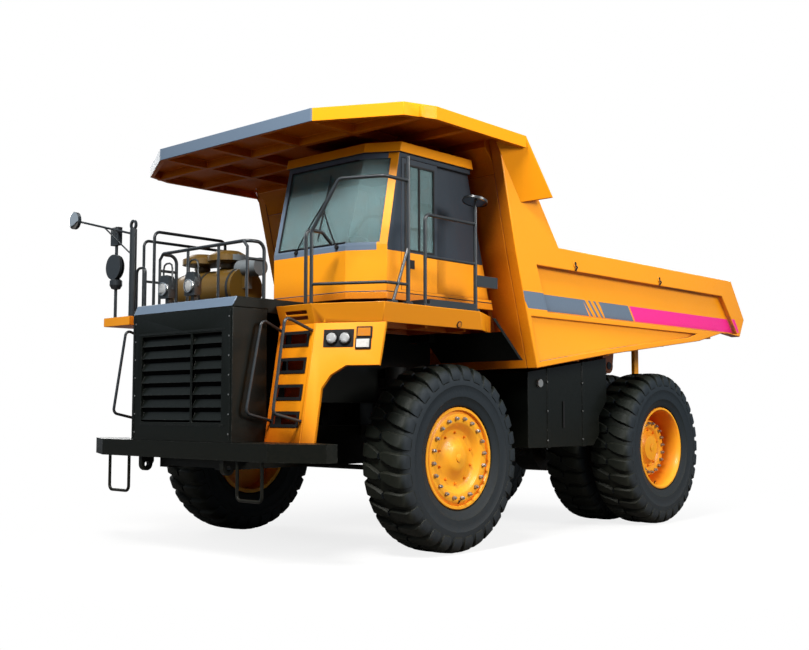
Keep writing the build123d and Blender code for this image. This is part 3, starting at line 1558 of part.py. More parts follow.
def build():
    """Makes and writes every piece."""
    tyre = tyre_form()
    for name, side in SIDES.items():
        place(f"tyre_front_{name}", at_axle(mirrored(Pos(FRONT_WHEEL_X, 0, 0) * tyre, side), 0))
        place(f"rim_front_{name}", at_axle(mirrored(Pos(FRONT_WHEEL_X, 0, 0) * front_rim(), side), 0))
        twins = Compound([Pos(x, 0, 0) * tyre for x in (REAR_OUTER_X, REAR_INNER_X)])
        place(f"tyres_rear_{name}", at_axle(mirrored(twins, side), WHEELBASE))
        place(f"rims_rear_{name}", at_axle(mirrored(rear_rim(), side), WHEELBASE))
    place("frame_rails", frame_rails())
    place("front_struts", Compound([mirrored(front_strut(), side) for side in SIDES.values()]))
    for name, side in SIDES.items():
        place(f"knuckle_{name}", mirrored(knuckle(), side))
    place("tie_rod", tie_rod())
    place("rear_axle", rear_axle())
    place("engine_block", block(
        (-RAIL_IN_X, RAIL_IN_X), (ENGINE_FRONT_Y, ENGINE_BACK_Y), (ENGINE_LOW_Z, ENGINE_TOP_Z)
    ))
    place("driveline", driveline())
    place("front_bumper", bumper())
    place("radiator", radiator())
    place("hood", hood())
    for name, side in SIDES.items():
        place(f"fender_{name}", mirrored(fender(), side))
        place(f"mudguard_{name}", mirrored(mudguard(), side))
    place("deck_left", deck())
    place("deck_right", joined([mirrored(deck(), -1), landing()]))
    place("cab_floor", cab_floor())
    place("cab_body", cab_body())
    place("cab_roof", cab_roof())
    for name, region in window_regions().items():
        place(name, cab_pane(region))
    door_panel, door_pane = cab_door()
    place("cab_door", door_panel)
    place("cab_door_glass", door_pane)
    place("seat", seat())
    place("dashboard", dashboard())
    place("handrails_left", left_rails())
    place("handrails_right", right_rails())
    place("hood_guard", hood_guard())
    place("air_cleaners", air_cleaners())
    place("mirrors", mirrors())
    place("lamps", lamps())
    place("fuel_tank", tank())
    place("hydraulic_tank", mirrored(tank(), -1))
    for name, side in SIDES.items():
        place(f"body_side_{name}", mirrored(body_side(), side))
    place("body_floor", body_floor())
    place("body_front_wall", front_wall())
    place("canopy", canopy())
    place("rock_ejectors", Compound([mirrored(rock_ejector(), side) for side in SIDES.values()]))
    for name, side in SIDES.items():
        hoist_barrel, hoist_rod = hoist(side)
        place(f"hoist_barrel_{name}", hoist_barrel)
        place(f"hoist_rod_{name}", hoist_rod)


build()
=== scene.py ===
"""Looks of a rigid mining dump truck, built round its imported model.

The file is laid out as an add-on with one operator for each group of pieces. Metres, with X to the
truck's left, Y to its rear and Z up. Places are given from the front axle, and at() moves them to
the model's own origin.
"""

import json
import math
from collections import namedtuple

import bmesh
import bpy
from bpy.props import FloatProperty, FloatVectorProperty, IntProperty, PointerProperty
from mathutils import Matrix, Vector

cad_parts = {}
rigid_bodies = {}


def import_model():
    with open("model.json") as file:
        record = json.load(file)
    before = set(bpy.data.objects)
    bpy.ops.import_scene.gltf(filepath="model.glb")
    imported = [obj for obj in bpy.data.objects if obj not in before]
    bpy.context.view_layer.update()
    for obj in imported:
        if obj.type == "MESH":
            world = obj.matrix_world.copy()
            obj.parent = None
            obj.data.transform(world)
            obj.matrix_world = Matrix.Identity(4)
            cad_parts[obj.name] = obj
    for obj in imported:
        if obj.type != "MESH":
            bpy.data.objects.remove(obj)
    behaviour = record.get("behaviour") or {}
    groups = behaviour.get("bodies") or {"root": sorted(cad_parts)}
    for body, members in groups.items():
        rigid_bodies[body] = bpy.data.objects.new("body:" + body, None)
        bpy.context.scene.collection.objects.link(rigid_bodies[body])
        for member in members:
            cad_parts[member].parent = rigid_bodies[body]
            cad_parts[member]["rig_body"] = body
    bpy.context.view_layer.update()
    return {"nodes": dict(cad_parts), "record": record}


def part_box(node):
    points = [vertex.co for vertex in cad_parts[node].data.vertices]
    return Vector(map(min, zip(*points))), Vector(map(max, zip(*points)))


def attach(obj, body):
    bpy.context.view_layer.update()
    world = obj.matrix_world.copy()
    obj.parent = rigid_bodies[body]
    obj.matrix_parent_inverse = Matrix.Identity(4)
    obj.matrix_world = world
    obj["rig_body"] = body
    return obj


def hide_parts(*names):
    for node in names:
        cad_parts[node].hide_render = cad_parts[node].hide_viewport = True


bl_info = {
    "name": "Mining dump truck looks",
    "version": (1, 0, 0),
    "blender": (4, 5, 0),
    "location": "View3D > Sidebar > Truck",
    "description": "Finishes and small pieces of a rigid mining dump truck",
    "category": "Object",
}

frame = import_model()
NODES = frame["nodes"]
SIDES = {"left": 1, "right": -1}


def middle(node):
    """Centre of a node's box."""
    low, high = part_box(node)
    return (low + high) / 2


FRONT_AXLE = middle("rim_front_left").y
REAR_AXLE = middle("rims_rear_left").y
WHEEL_Z = middle("tyre_front_left").z
FRONT_WHEEL_X = middle("tyre_front_left").x
TYRE_HALF_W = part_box("tyre_front_left")[1].x - FRONT_WHEEL_X
REAR_OUTER_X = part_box("tyres_rear_left")[1].x - TYRE_HALF_W
REAR_INNER_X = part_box("tyres_rear_left")[0].x + TYRE_HALF_W

# The photograph's camera, as a place in the model's own frame and two angles
CAMERA_PLACE = (9.977, -12.060, 1.644)
CAMERA_AZIMUTH = 42.162
CAMERA_PITCH = 4.473
CAMERA_LENS = 47.947


def at(x, y, z):
    """Point given from the front axle."""
    return Vector((x, y + FRONT_AXLE, z))


def corner_pairs(across, up):
    """Corners of a rectangle between two pairs of limits, in turn."""
    return ((across[0], up[0]), (across[1], up[0]), (across[1], up[1]), (across[0], up[1]))


def colour_choice(name, description, default):
    """Colour that is shown in the panel."""
    return FloatVectorProperty(name=name, description=description, subtype="COLOR", default=default)


class TruckColours(bpy.types.PropertyGroup):
    """Colours that a user would change."""

    body: colour_choice("Body paint", "Main paint", (0.95, 0.345, 0.006))
    stripe: colour_choice("Stripe", "Stripe and fascia paint", (0.13, 0.18, 0.25))
    accent: colour_choice("Accent", "Rear part of the side stripe", (0.92, 0.024, 0.30))
    dark: colour_choice("Chassis", "Frame, bumper and grille", (0.0032, 0.0045, 0.0032))
    rail: colour_choice("Rails", "Handrails and guards", (0.02, 0.025, 0.03))
    rubber: colour_choice("Tyres", "Tyre rubber", (0.0045, 0.0075, 0.005))
    # The air cleaners' colour is their yellow paint darkened to tan, as painted shade
    cleaner: colour_choice("Air cleaners", "Air cleaner housings", (0.16, 0.085, 0.008))
    cab_dark: colour_choice("Cab sides", "Cab side above the sill", (0.022, 0.034, 0.05))
    # Pale teal of the cab glass: partly real tint, partly a painted reflection
    glass: colour_choice("Glass", "Tint of the cab glass", (0.36, 0.55, 0.57))


class TruckSizes(bpy.types.PropertyGroup):
    """Counts and sizes that a user would change."""

    lugs: IntProperty(
        name="Tread lugs",
        description="Lugs on each shoulder of a tyre",
        default=30,
        min=8,
    )
    lug_half: FloatProperty(
        name="Lug half width",
        description="Half of a lug's width at the shoulder",
        default=0.072,
        unit="LENGTH",
    )
    nuts: IntProperty(
        name="Wheel nuts",
        description="Nuts on a wheel's ring",
        default=20,
        min=4,
    )
    fins: IntProperty(
        name="Core fins",
        description="Upright fins behind a metre of the grille",
        default=60,
        min=4,
    )
    bolts: IntProperty(
        name="Edge bolts",
        description="Bolts along the side of the grille",
        default=7,
        min=2,
    )
    paint_round: FloatProperty(
        name="Panel edge",
        description="Rounding of painted panel edges",
        default=0.006,
        unit="LENGTH",
    )


# Shader helpers


def node(tree, kind, inputs=None, **settings):
    """One shader or geometry node with its settings, values and links."""
    made = tree.nodes.new(kind)
    for key, value in settings.items():
        setattr(made, key, value)
    for socket, value in (inputs or {}).items():
        if isinstance(value, bpy.types.NodeSocket):
            tree.links.new(value, made.inputs[socket])
        else:
            made.inputs[socket].default_value = value
    return made


def math_node(tree, operation, a, b=0.0, clamp=False):
    """Result of a sum on two values."""
    return node(tree, "ShaderNodeMath", {0: a, 1: b}, operation=operation, use_clamp=clamp).outputs[0]


def plus(tree, a, b):
    """Sum of two values."""
    return math_node(tree, "ADD", a, b)


def minus(tree, a, b, clamp=False):
    """Difference of two values."""
    return math_node(tree, "SUBTRACT", a, b, clamp)


def times(tree, a, b, clamp=False):
    """Product of two values."""
    return math_node(tree, "MULTIPLY", a, b, clamp)


def above(tree, value, limit):
    """1 where the value is over the limit."""
    return math_node(tree, "GREATER_THAN", value, limit)


def below(tree, value, limit):
    """1 where the value is under the limit."""
    return math_node(tree, "LESS_THAN", value, limit)


def between(tree, value, low, high):
    """1 where low < value < high."""
    return times(tree, above(tree, value, low), below(tree, value, high))


def object_place(tree):
    """Object coordinates."""
    return node(tree, "ShaderNodeTexCoord").outputs["Object"]


def facing(tree):
    """World normal as three values."""
    normal = node(tree, "ShaderNodeNewGeometry").outputs["Normal"]
    return node(tree, "ShaderNodeSeparateXYZ", {0: normal}).outputs


def blend_colours(tree, amount, a, b, kind="MIX"):
    """Colour between a and b."""
    mix = node(tree, "ShaderNodeMix", data_type="RGBA", blend_type=kind)
    for index, value in ((0, amount), (6, a), (7, b)):
        if isinstance(value, bpy.types.NodeSocket):
            tree.links.new(value, mix.inputs[index])
        else:
            mix.inputs[index].default_value = value
    return mix.outputs[2]


def remap(tree, value, low, high, to_low=0.0, to_high=1.0):
    """Value moved from one range to another and clamped."""
    made = node(
        tree,
        "ShaderNodeMapRange",
        {"Value": value, "From Min": low, "From Max": high, "To Min": to_low, "To Max": to_high},
    )
    return made.outputs["Result"]


def noise(tree, place, scale, detail=3.0, rough=0.55):
    """Noise value at a place."""
    values = {"Vector": place, "Scale": scale, "Detail": detail, "Roughness": rough}
    return node(tree, "ShaderNodeTexNoise", values).outputs["Fac"]


def new_group(name, inputs, outputs):
    """Empty shader group with named sockets, and its two end nodes."""
    group = bpy.data.node_groups.new(name, "ShaderNodeTree")
    for label, kind, value in inputs:
        group.interface.new_socket(label, in_out="INPUT", socket_type=kind).default_value = value
    for label, kind in outputs:
        group.interface.new_socket(label, in_out="OUTPUT", socket_type=kind)
    return group, group.nodes.new("NodeGroupInput").outputs, group.nodes.new("NodeGroupOutput")


# Weathering and painted shade: reach of worn edges, dust on level tops, roughness that dust adds, painted
# shade under a face
WORN_EDGE = 0.012
TOP_DUST = 0.35
DUST_ROUGHNESS = 0.45
UNDER_SHADE = 0.8


def weathering_and_shade_group():
    """Colour variation, dust low down and on top faces, worn edges, and painted shade in closed corners and
    under faces that point down.
    """
    group, given, out = new_group(
        "weathering_and_painted_shade",
        [
            ("Colour", "NodeSocketColor", (0.5, 0.5, 0.5, 1)),
            ("Dust Colour", "NodeSocketColor", (0.30, 0.21, 0.11, 1)),
            ("Dust", "NodeSocketFloat", 0.3),
            ("Dust Height", "NodeSocketFloat", 1.6),
            ("Patches", "NodeSocketFloat", 0.06),
            ("Wear", "NodeSocketFloat", 0.3),
            ("Wear Colour", "NodeSocketColor", (0.2, 0.2, 0.2, 1)),
            ("Roughness", "NodeSocketFloat", 0.4),
            ("Shade Colour", "NodeSocketColor", (0.6, 0.6, 0.6, 1)),
            ("Shade Reach", "NodeSocketFloat", 2.2),
        ],
        [("Colour", "NodeSocketColor"), ("Roughness", "NodeSocketFloat")],
    )
    place = object_place(group)
    broad = noise(group, place, 0.9, 4.0)
    fine = noise(group, place, 26.0, 5.0, 0.65)
    swing = times(group, minus(group, broad, 0.5), given["Patches"])
    brightness = {"Value": plus(group, swing, 1.0), "Color": given["Colour"]}
    tone = node(group, "ShaderNodeHueSaturation", brightness).outputs["Color"]

    height = node(group, "ShaderNodeSeparateXYZ", {0: place}).outputs["Z"]
    low = minus(group, 1.0, math_node(group, "DIVIDE", height, given["Dust Height"]), True)
    upward = facing(group)["Z"]
    top = remap(group, upward, 0.5, 1.0, 0.0, TOP_DUST)
    gather = times(group, plus(group, low, top), remap(group, fine, 0.35, 0.7, 0.25, 1.0))
    dust = times(group, gather, given["Dust"], True)
    dusty = blend_colours(group, dust, tone, given["Dust Colour"])

    rounded = node(group, "ShaderNodeBevel", {"Radius": WORN_EDGE}, samples=4).outputs["Normal"]
    flat = node(group, "ShaderNodeNewGeometry").outputs["Normal"]
    turn = node(group, "ShaderNodeVectorMath", {0: rounded, 1: flat}, operation="DOT_PRODUCT")
    edge = remap(group, turn.outputs["Value"], 0.985, 0.9)
    chips = times(group, edge, remap(group, noise(group, place, 60.0, 4.0), 0.52, 0.66))
    worn = times(group, chips, given["Wear"], True)
    chipped = blend_colours(group, worn, dusty, given["Wear Colour"])

    # Painted shade: the colour is multiplied towards the shade colour in corners found by ambient occlusion
    # and on faces that point down
    light = node(group, "ShaderNodeAmbientOcclusion", {"Distance": given["Shade Reach"]}, samples=8)
    closed_in_shade = remap(group, light.outputs["AO"], 0.2, 0.85, 1.0, 0.0)
    under = remap(group, upward, -0.9, -0.2, UNDER_SHADE, 0.0)
    shade = math_node(group, "MAXIMUM", closed_in_shade, under)
    colour = blend_colours(group, shade, chipped, given["Shade Colour"], "MULTIPLY")
    group.links.new(colour, out.inputs["Colour"])

    rough = plus(group, given["Roughness"], remap(group, fine, 0.3, 0.7, -0.06, 0.08))
    rough = plus(group, rough, times(group, dust, DUST_ROUGHNESS))
    group.links.new(rough, out.inputs["Roughness"])
    return group


def grain_group():
    """Height of a fine grain over a slower unevenness."""
    group, given, out = new_group(
        "surface_grain",
        [("Scale", "NodeSocketFloat", 60.0), ("Unevenness", "NodeSocketFloat", 0.5)],
        [("Height", "NodeSocketFloat")],
    )
    place = object_place(group)
    fine = noise(group, place, given["Scale"], 5.0, 0.6)
    slow = times(group, noise(group, place, 3.5, 2.0), given["Unevenness"])
    group.links.new(plus(group, fine, slow), out.inputs["Height"])
    return group


def tread_plate_group():
    """Height of a raised diamond pattern, as on a walkway plate."""
    group, given, out = new_group(
        "tread_plate", [("Pitch", "NodeSocketFloat", 0.045)], [("Height", "NodeSocketFloat")]
    )
    place = node(group, "ShaderNodeSeparateXYZ", {0: object_place(group)})
    turn = math_node(group, "DIVIDE", math.tau, given["Pitch"])
    across = math_node(group, "SINE", times(group, place.outputs["X"], turn))
    along = math_node(group, "SINE", times(group, place.outputs["Y"], turn))
    raised = remap(group, times(group, across, along), 0.35, 0.75)
    group.links.new(raised, out.inputs["Height"])
    return group


STEEL = (0.32, 0.32, 0.31)
FINISHES = {
    # finish: colour, metallic, roughness, clear coat, dust, wear, wear colour, grain scale, grain depth
    "body_paint": ("body", 0.0, 0.42, 0.12, 0.10, 0.35, (0.30, 0.10, 0.02), 90.0, 0.0012),
    "rim_paint": ((0.95, 0.40, 0.014), 0.0, 0.42, 0.1, 0.12, 0.4, (0.12, 0.07, 0.04), 80.0, 0.0015),
    "chassis_paint": ("dark", 0.0, 0.42, 0.1, 0.06, 0.25, STEEL, 70.0, 0.0016),
    "rail_paint": ("rail", 0.2, 0.38, 0.2, 0.2, 0.4, STEEL, 90.0, 0.001),
    "rubber": ("rubber", 0.0, 0.62, 0.0, 0.05, 0.0, STEEL, 55.0, 0.003),
    # Air cleaners: yellow paint darkened to tan by painted shade
    "cleaner_paint": ("cleaner", 0.1, 0.45, 0.1, 0.25, 0.4, STEEL, 80.0, 0.0015),
    "grey_paint": ((0.20, 0.225, 0.24), 0.1, 0.45, 0.1, 0.2, 0.3, STEEL, 90.0, 0.001),
    "black_trim": ((0.012, 0.012, 0.013), 0.0, 0.5, 0.0, 0.15, 0.0, STEEL, 120.0, 0.001),
    "cab_lining": ((0.055, 0.06, 0.065), 0.0, 0.65, 0.0, 0.1, 0.0, STEEL, 150.0, 0.0012),
    "steel": ((0.42, 0.42, 0.41), 0.9, 0.38, 0.0, 0.3, 0.0, STEEL, 140.0, 0.001),
    "chrome": ((0.72, 0.73, 0.74), 1.0, 0.09, 0.0, 0.05, 0.0, STEEL, 200.0, 0.0003),
    "worn_bed": ("body", 0.15, 0.5, 0.0, 0.45, 0.6, STEEL, 30.0, 0.004),
    "iron": ((0.035, 0.036, 0.035), 0.4, 0.55, 0.0, 0.2, 0.2, STEEL, 45.0, 0.004),
    "seat_cloth": ((0.035, 0.037, 0.042), 0.0, 0.9, 0.0, 0.1, 0.0, STEEL, 300.0, 0.002),
    "mirror_face": ((0.82, 0.85, 0.87), 1.0, 0.04, 0.0, 0.02, 0.0, STEEL, 20.0, 0.0001),
}
# Gloss of finishes that is weaker than the shader's own
PLAIN_GLOSS = 0.5
GLOSS = {
    "chassis_paint": 0.16,
    "rubber": 0.26,
    "iron": 0.22,
    "black_trim": 0.22,
    "body_paint": 0.3,
    "body_paint-roof": 0.1,
    "body_paint-canopy": 0.1,
    "rim_paint": 0.3,
}
# Roofs stand open to the weather, so their clear coat is dull
ROOF_PAINTS = ("body_paint-roof", "body_paint-canopy")
DULL_COAT = 0.02
COAT_ROUGHNESS = 0.12
# How far the shade of a finish reaches, where that isn't the plain reach
PLAIN_REACH = 2.2
NEAR_REACH = {
    "rim_paint": 0.4,
    "rubber": 0.2,
    "steel": 0.2,
    "body_paint-cab": 0.5,
    "body_paint-roof": 0.4,
}
# What the colour is multiplied by in the deepest shade
PLAIN_SHADE = (0.5, 0.5, 0.5)
PAINT_SHADE = (0.36, 0.11, 0.05)
SHADES = {
    "body_paint": PAINT_SHADE,
    "worn_bed": PAINT_SHADE,
    "rim_paint": (0.80, 0.32, 0.12),
}
GRAIN_STRENGTH = 0.6
MATERIALS = {}
GROUPS = {}


def shell(name):
    """New material with its main shader, and the tree."""
    material = bpy.data.materials.new(name)
    material.use_nodes = True
    tree = material.node_tree
    MATERIALS[name] = material
    return tree, tree.nodes["Principled BSDF"]


def finish_material(name, colour_source=None, height_source=None):
    """Material from the finish table, with an optional colour or height of its own."""
    kind = name.split("-")[0]
    colour, metal, rough, coat, dust, wear, worn, grain, depth = FINISHES[kind]
    if isinstance(colour, str):
        colour = getattr(bpy.context.scene.truck_colours, colour)
    plain = (*colour, 1)
    tree, shader = shell(name)
    # Weathering, with painted shade multiplied into the base colour
    aged_and_shaded = node(tree, "ShaderNodeGroup", node_tree=GROUPS["weathering_and_painted_shade"])
    values = {
        "Colour": plain,
        "Dust": dust,
        "Wear": wear,
        "Wear Colour": (*worn, 1),
        "Roughness": rough,
        "Shade Colour": (*SHADES.get(kind, PLAIN_SHADE), 1),
        "Shade Reach": NEAR_REACH.get(name, NEAR_REACH.get(kind, PLAIN_REACH)),
    }
    for label, value in values.items():
        aged_and_shaded.inputs[label].default_value = value
    if colour_source:
        tree.links.new(colour_source(tree, plain), aged_and_shaded.inputs["Colour"])
    grained = node(tree, "ShaderNodeGroup", node_tree=GROUPS["surface_grain"])
    grained.inputs["Scale"].default_value = grain
    height = grained.outputs["Height"]
    if height_source:
        height = plus(tree, height, height_source(tree))
    relief = {"Height": height, "Distance": depth, "Strength": GRAIN_STRENGTH}
    bump = node(tree, "ShaderNodeBump", relief)
    tree.links.new(aged_and_shaded.outputs["Colour"], shader.inputs["Base Color"])
    tree.links.new(aged_and_shaded.outputs["Roughness"], shader.inputs["Roughness"])
    tree.links.new(bump.outputs["Normal"], shader.inputs["Normal"])
    shader.inputs["Metallic"].default_value = metal
    shader.inputs["Specular IOR Level"].default_value = GLOSS.get(name, GLOSS.get(kind, PLAIN_GLOSS))
    shader.inputs["Coat Weight"].default_value = DULL_COAT if name in ROOF_PAINTS else coat
    shader.inputs["Coat Roughness"].default_value = COAT_ROUGHNESS


def axle_place(tree):
    """Object coordinates as X, Y from the front axle, and Z."""
    split = node(tree, "ShaderNodeSeparateXYZ", {0: object_place(tree)})
    along = minus(tree, split.outputs["Y"], FRONT_AXLE)
    return split.outputs["X"], along, split.outputs["Z"]


# Side stripe: heights, its lean towards the rear, and where its parts begin and end at its top edge
STRIPE_Z = (2.885, 3.095)
STRIPE_LEAN = -0.75
BLUE_Y = (1.0, 3.66)
HATCH_Y = (2.50, 2.90)
HATCH_PITCH = 0.13
HATCH_GAP = 0.42
ACCENT_Y = (3.70, 6.87)
# The stripe lies on faces that are no further in than this from the body's widest place
STRIPE_DEPTH = 0.1


def side_stripe(tree, plain):
    """Paint of the body's side with its two-colour stripe and the hatched gap."""
    colours = bpy.context.scene.truck_colours
    across, along, up = axle_place(tree)
    lean = times(tree, minus(tree, up, STRIPE_Z[1]), STRIPE_LEAN)
    leaned = minus(tree, along, lean)
    side = above(tree, math_node(tree, "ABSOLUTE", facing(tree)["X"]), 0.7)
    least_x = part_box("body_side_left")[1].x - STRIPE_DEPTH
    outer = above(tree, math_node(tree, "ABSOLUTE", across), least_x)
    band = times(tree, between(tree, up, *STRIPE_Z), times(tree, side, outer))
    wave = math_node(tree, "FRACT", math_node(tree, "DIVIDE", plus(tree, along, up), HATCH_PITCH))
    gap = times(tree, between(tree, leaned, *HATCH_Y), above(tree, wave, HATCH_GAP))
    blue = times(tree, between(tree, leaned, *BLUE_Y), minus(tree, 1.0, gap))
    painted = blend_colours(tree, times(tree, blue, band), plain, (*colours.stripe, 1))
    accent = times(tree, between(tree, leaned, *ACCENT_Y), band)
    return blend_colours(tree, accent, painted, (*colours.accent, 1))


# Band on the canopy's front edge: its height and left end, and the edge's sweep beyond the folds
CANOPY_BAND = 0.151
CANOPY_BAND_END_X = 1.42
CANOPY_BAND_DEPTH = 0.03
CANOPY_FRONT_Y = -1.72
CANOPY_FOLD_X = 1.4
CANOPY_SWEEP = 0.532


def canopy_band(tree, plain):
    """Paint of the canopy with a dark band on its front edge, all but the left chamfer."""
    colours = bpy.context.scene.truck_colours
    across, along, up = axle_place(tree)
    front = below(tree, facing(tree)["Y"], -0.3)
    outside = minus(tree, math_node(tree, "ABSOLUTE", across), CANOPY_FOLD_X)
    outside = math_node(tree, "MAXIMUM", 0.0, outside)
    edge = plus(tree, along, times(tree, outside, -CANOPY_SWEEP))
    mask = times(tree, front, below(tree, edge, CANOPY_FRONT_Y + CANOPY_BAND_DEPTH))
    mask = times(tree, mask, above(tree, up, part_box("canopy")[1].z - CANOPY_BAND))
    mask = times(tree, mask, below(tree, across, CANOPY_BAND_END_X))
    return blend_colours(tree, mask, plain, (*colours.stripe, 1))


def hood_strip(tree, plain):
    """Dark hood with the painted strip along its sloping front edge."""
    colours = bpy.context.scene.truck_colours
    normal = facing(tree)
    slope = times(tree, between(tree, normal["Y"], -0.97, -0.3), between(tree, normal["Z"], 0.2, 0.9))
    return blend_colours(tree, slope, plain, (*colours.stripe, 1))


# Cab walls: where the dark sides begin, top of the floor, and the edges of the painted front pillar
CAB_BAND_Z = 3.42
CAB_FLOOR_TOP_Z = 2.96
CAB_PILLAR_X = 1.745
CAB_JAMB_Y = -0.74


def cab_bands(tree, plain):
    """Cab walls, dark from the band under the glass upwards, all but the painted front pillar."""
    colours = bpy.context.scene.truck_colours
    across, along, up = axle_place(tree)
    forward = below(tree, facing(tree)["Y"], -0.35)
    corner = times(tree, above(tree, across, CAB_PILLAR_X), forward)
    corner = times(tree, corner, below(tree, along, CAB_JAMB_Y))
    upper = above(tree, up, CAB_BAND_Z)
    mask = times(tree, upper, minus(tree, 1.0, corner))
    low = below(tree, up, CAB_FLOOR_TOP_Z)
    mask = math_node(tree, "MAXIMUM", mask, low)
    sideways = above(tree, facing(tree)["X"], 0.6)
    dark = blend_colours(tree, sideways, (*colours.stripe, 1), (*colours.cab_dark, 1))
    return blend_colours(tree, mask, plain, dark)


# Painted sheen: blue-grey colour on the tyres' sidewalls
SIDEWALL_SHEEN = (0.011, 0.017, 0.023)


def sidewall_sheen(tree, plain):
    """Rubber with a painted blue-grey sheen on faces that point sideways, so the sidewalls are cooler and
    paler than the tread.
    """
    level = math_node(tree, "ABSOLUTE", facing(tree)["X"])
    return blend_colours(tree, remap(tree, level, 0.7, 0.97), plain, (*SIDEWALL_SHEEN, 1))


SCRAPE_STRETCH = (5.0, 0.45, 2.2)
SCRAPED_STEEL = (0.16, 0.145, 0.125, 1)


def scraped(tree, plain):
    """Paint scraped to bare steel by loads sliding towards the tail."""
    place = object_place(tree)
    drawn = node(tree, "ShaderNodeVectorMath", {0: place, 1: SCRAPE_STRETCH}, operation="MULTIPLY")
    streaks = noise(tree, drawn.outputs[0], 1.8, 6.0, 0.7)
    patches = noise(tree, place, 0.8, 4.0, 0.6)
    bare = remap(tree, plus(tree, streaks, patches), 0.94, 1.12, 0.0, 0.85)
    return blend_colours(tree, bare, plain, SCRAPED_STEEL)


def plate_height(tree):
    """Raised diamonds for walkway plates."""
    made = node(tree, "ShaderNodeGroup", node_tree=GROUPS["tread_plate"])
    return times(tree, made.outputs["Height"], 1.6)


WEAVE_SCALE = 120.0


def weave_height(tree):
    """Height of a plain weave on the seat's cloth."""
    place = object_place(tree)
    waves = []
    for direction in ("X", "Z"):
        values = {"Vector": place, "Scale": WEAVE_SCALE}
        wave = node(tree, "ShaderNodeTexWave", values, wave_type="BANDS", bands_direction=direction)
        waves.append(wave.outputs["Fac"])
    return times(tree, waves[0], waves[1])


GRIME_ON_GLASS = (0.42, 0.42, 0.38, 1)
GRIME_ON_LENS = (0.3, 0.27, 0.2, 1)


def glass_material(name, tint, clear, rough):
    """Glass with faint grime, whose pale teal colour is partly real tint and partly a painted reflection.
    """
    tree, shader = shell(name)
    place = object_place(tree)
    grime = remap(tree, noise(tree, place, 5.0, 5.0), 0.45, 0.8, 0.0, 0.5)
    colour = blend_colours(tree, grime, (*tint, 1), GRIME_ON_GLASS)
    tree.links.new(colour, shader.inputs["Base Color"])
    tree.links.new(plus(tree, times(tree, grime, 0.12), rough), shader.inputs["Roughness"])
    shader.inputs["Transmission Weight"].default_value = clear
    shader.inputs["IOR"].default_value = 1.45
    shader.inputs["Specular IOR Level"].default_value = 0.8


def lens_material(name, tint, clear):
    """Ribbed lamp lens."""
    tree, shader = shell(name)
    place = object_place(tree)
    ribs = node(tree, "ShaderNodeTexWave", {"Vector": place, "Scale": 28.0}, bands_direction="X")
    height = ribs.outputs["Fac"]
    bump = node(tree, "ShaderNodeBump", {"Height": height, "Distance": 0.003, "Strength": 0.7})
    grime = remap(tree, noise(tree, place, 30.0, 4.0), 0.5, 0.8, 0.0, 0.35)
    colour = blend_colours(tree, grime, (*tint, 1), GRIME_ON_LENS)
    tree.links.new(colour, shader.inputs["Base Color"])
    tree.links.new(bump.outputs["Normal"], shader.inputs["Normal"])
    shader.inputs["Transmission Weight"].default_value = clear
    shader.inputs["Roughness"].default_value = 0.08


def make_materials():
    """Every finish of the truck."""
    GROUPS["weathering_and_painted_shade"] = weathering_and_shade_group()
    GROUPS["surface_grain"] = grain_group()
    GROUPS["tread_plate"] = tread_plate_group()
    for name in FINISHES:
        if name not in ("seat_cloth", "rubber", "worn_bed"):
            finish_material(name)
    finish_material("worn_bed", scraped)
    finish_material("rubber", sidewall_sheen)
    finish_material("seat_cloth", height_source=weave_height)
    finish_material("body_paint-side", side_stripe)
    finish_material("body_paint-canopy", canopy_band)
    finish_material("chassis_paint-hood", hood_strip)
    finish_material("body_paint-cab", cab_bands)
    finish_material("body_paint-roof")
    finish_material("chassis_paint-plate", height_source=plate_height)
    glass_material("cab_glass", bpy.context.scene.truck_colours.glass, 0.72, 0.03)
    lens_material("clear_lens", (0.86, 0.88, 0.9), 0.55)
    lens_material("amber_lens", (0.9, 0.33, 0.02), 0.35)
    lens_material("white_lens", (0.8, 0.8, 0.78), 0.1)


# Geometry node trees for what repeats


def repeat_tree(name, settings):
    """Tree that starts with a part and ends in real geometry with a finish."""
    tree = bpy.data.node_groups.new(name, "GeometryNodeTree")
    tree.interface.new_socket("Part", in_out="INPUT", socket_type="NodeSocketGeometry")
    tree.interface.new_socket("Finish", in_out="INPUT", socket_type="NodeSocketMaterial")
    for label, kind in settings:
        tree.interface.new_socket(label, in_out="INPUT", socket_type=kind)
    tree.interface.new_socket("Parts", in_out="OUTPUT", socket_type="NodeSocketGeometry")
    return tree, tree.nodes.new("NodeGroupInput").outputs


def close_tree(tree, given, instances):
    """Realizes the instances and gives them their finish."""
    real = node(tree, "GeometryNodeRealizeInstances", {"Geometry": instances}).outputs["Geometry"]
    finished = node(tree, "GeometryNodeSetMaterial", {"Geometry": real, "Material": given["Finish"]})
    out = tree.nodes.new("NodeGroupOutput")
    tree.links.new(finished.outputs["Geometry"], out.inputs["Parts"])
    return tree


def copies_on_line(tree, given, step):
    """Instances of the part on a line of points."""
    line = node(tree, "GeometryNodeMeshLine", {"Count": given["Count"], "Offset": step}, mode="OFFSET")
    spots = {"Points": line.outputs[0], "Instance": given["Part"]}
    return node(tree, "GeometryNodeInstanceOnPoints", spots).outputs[0]


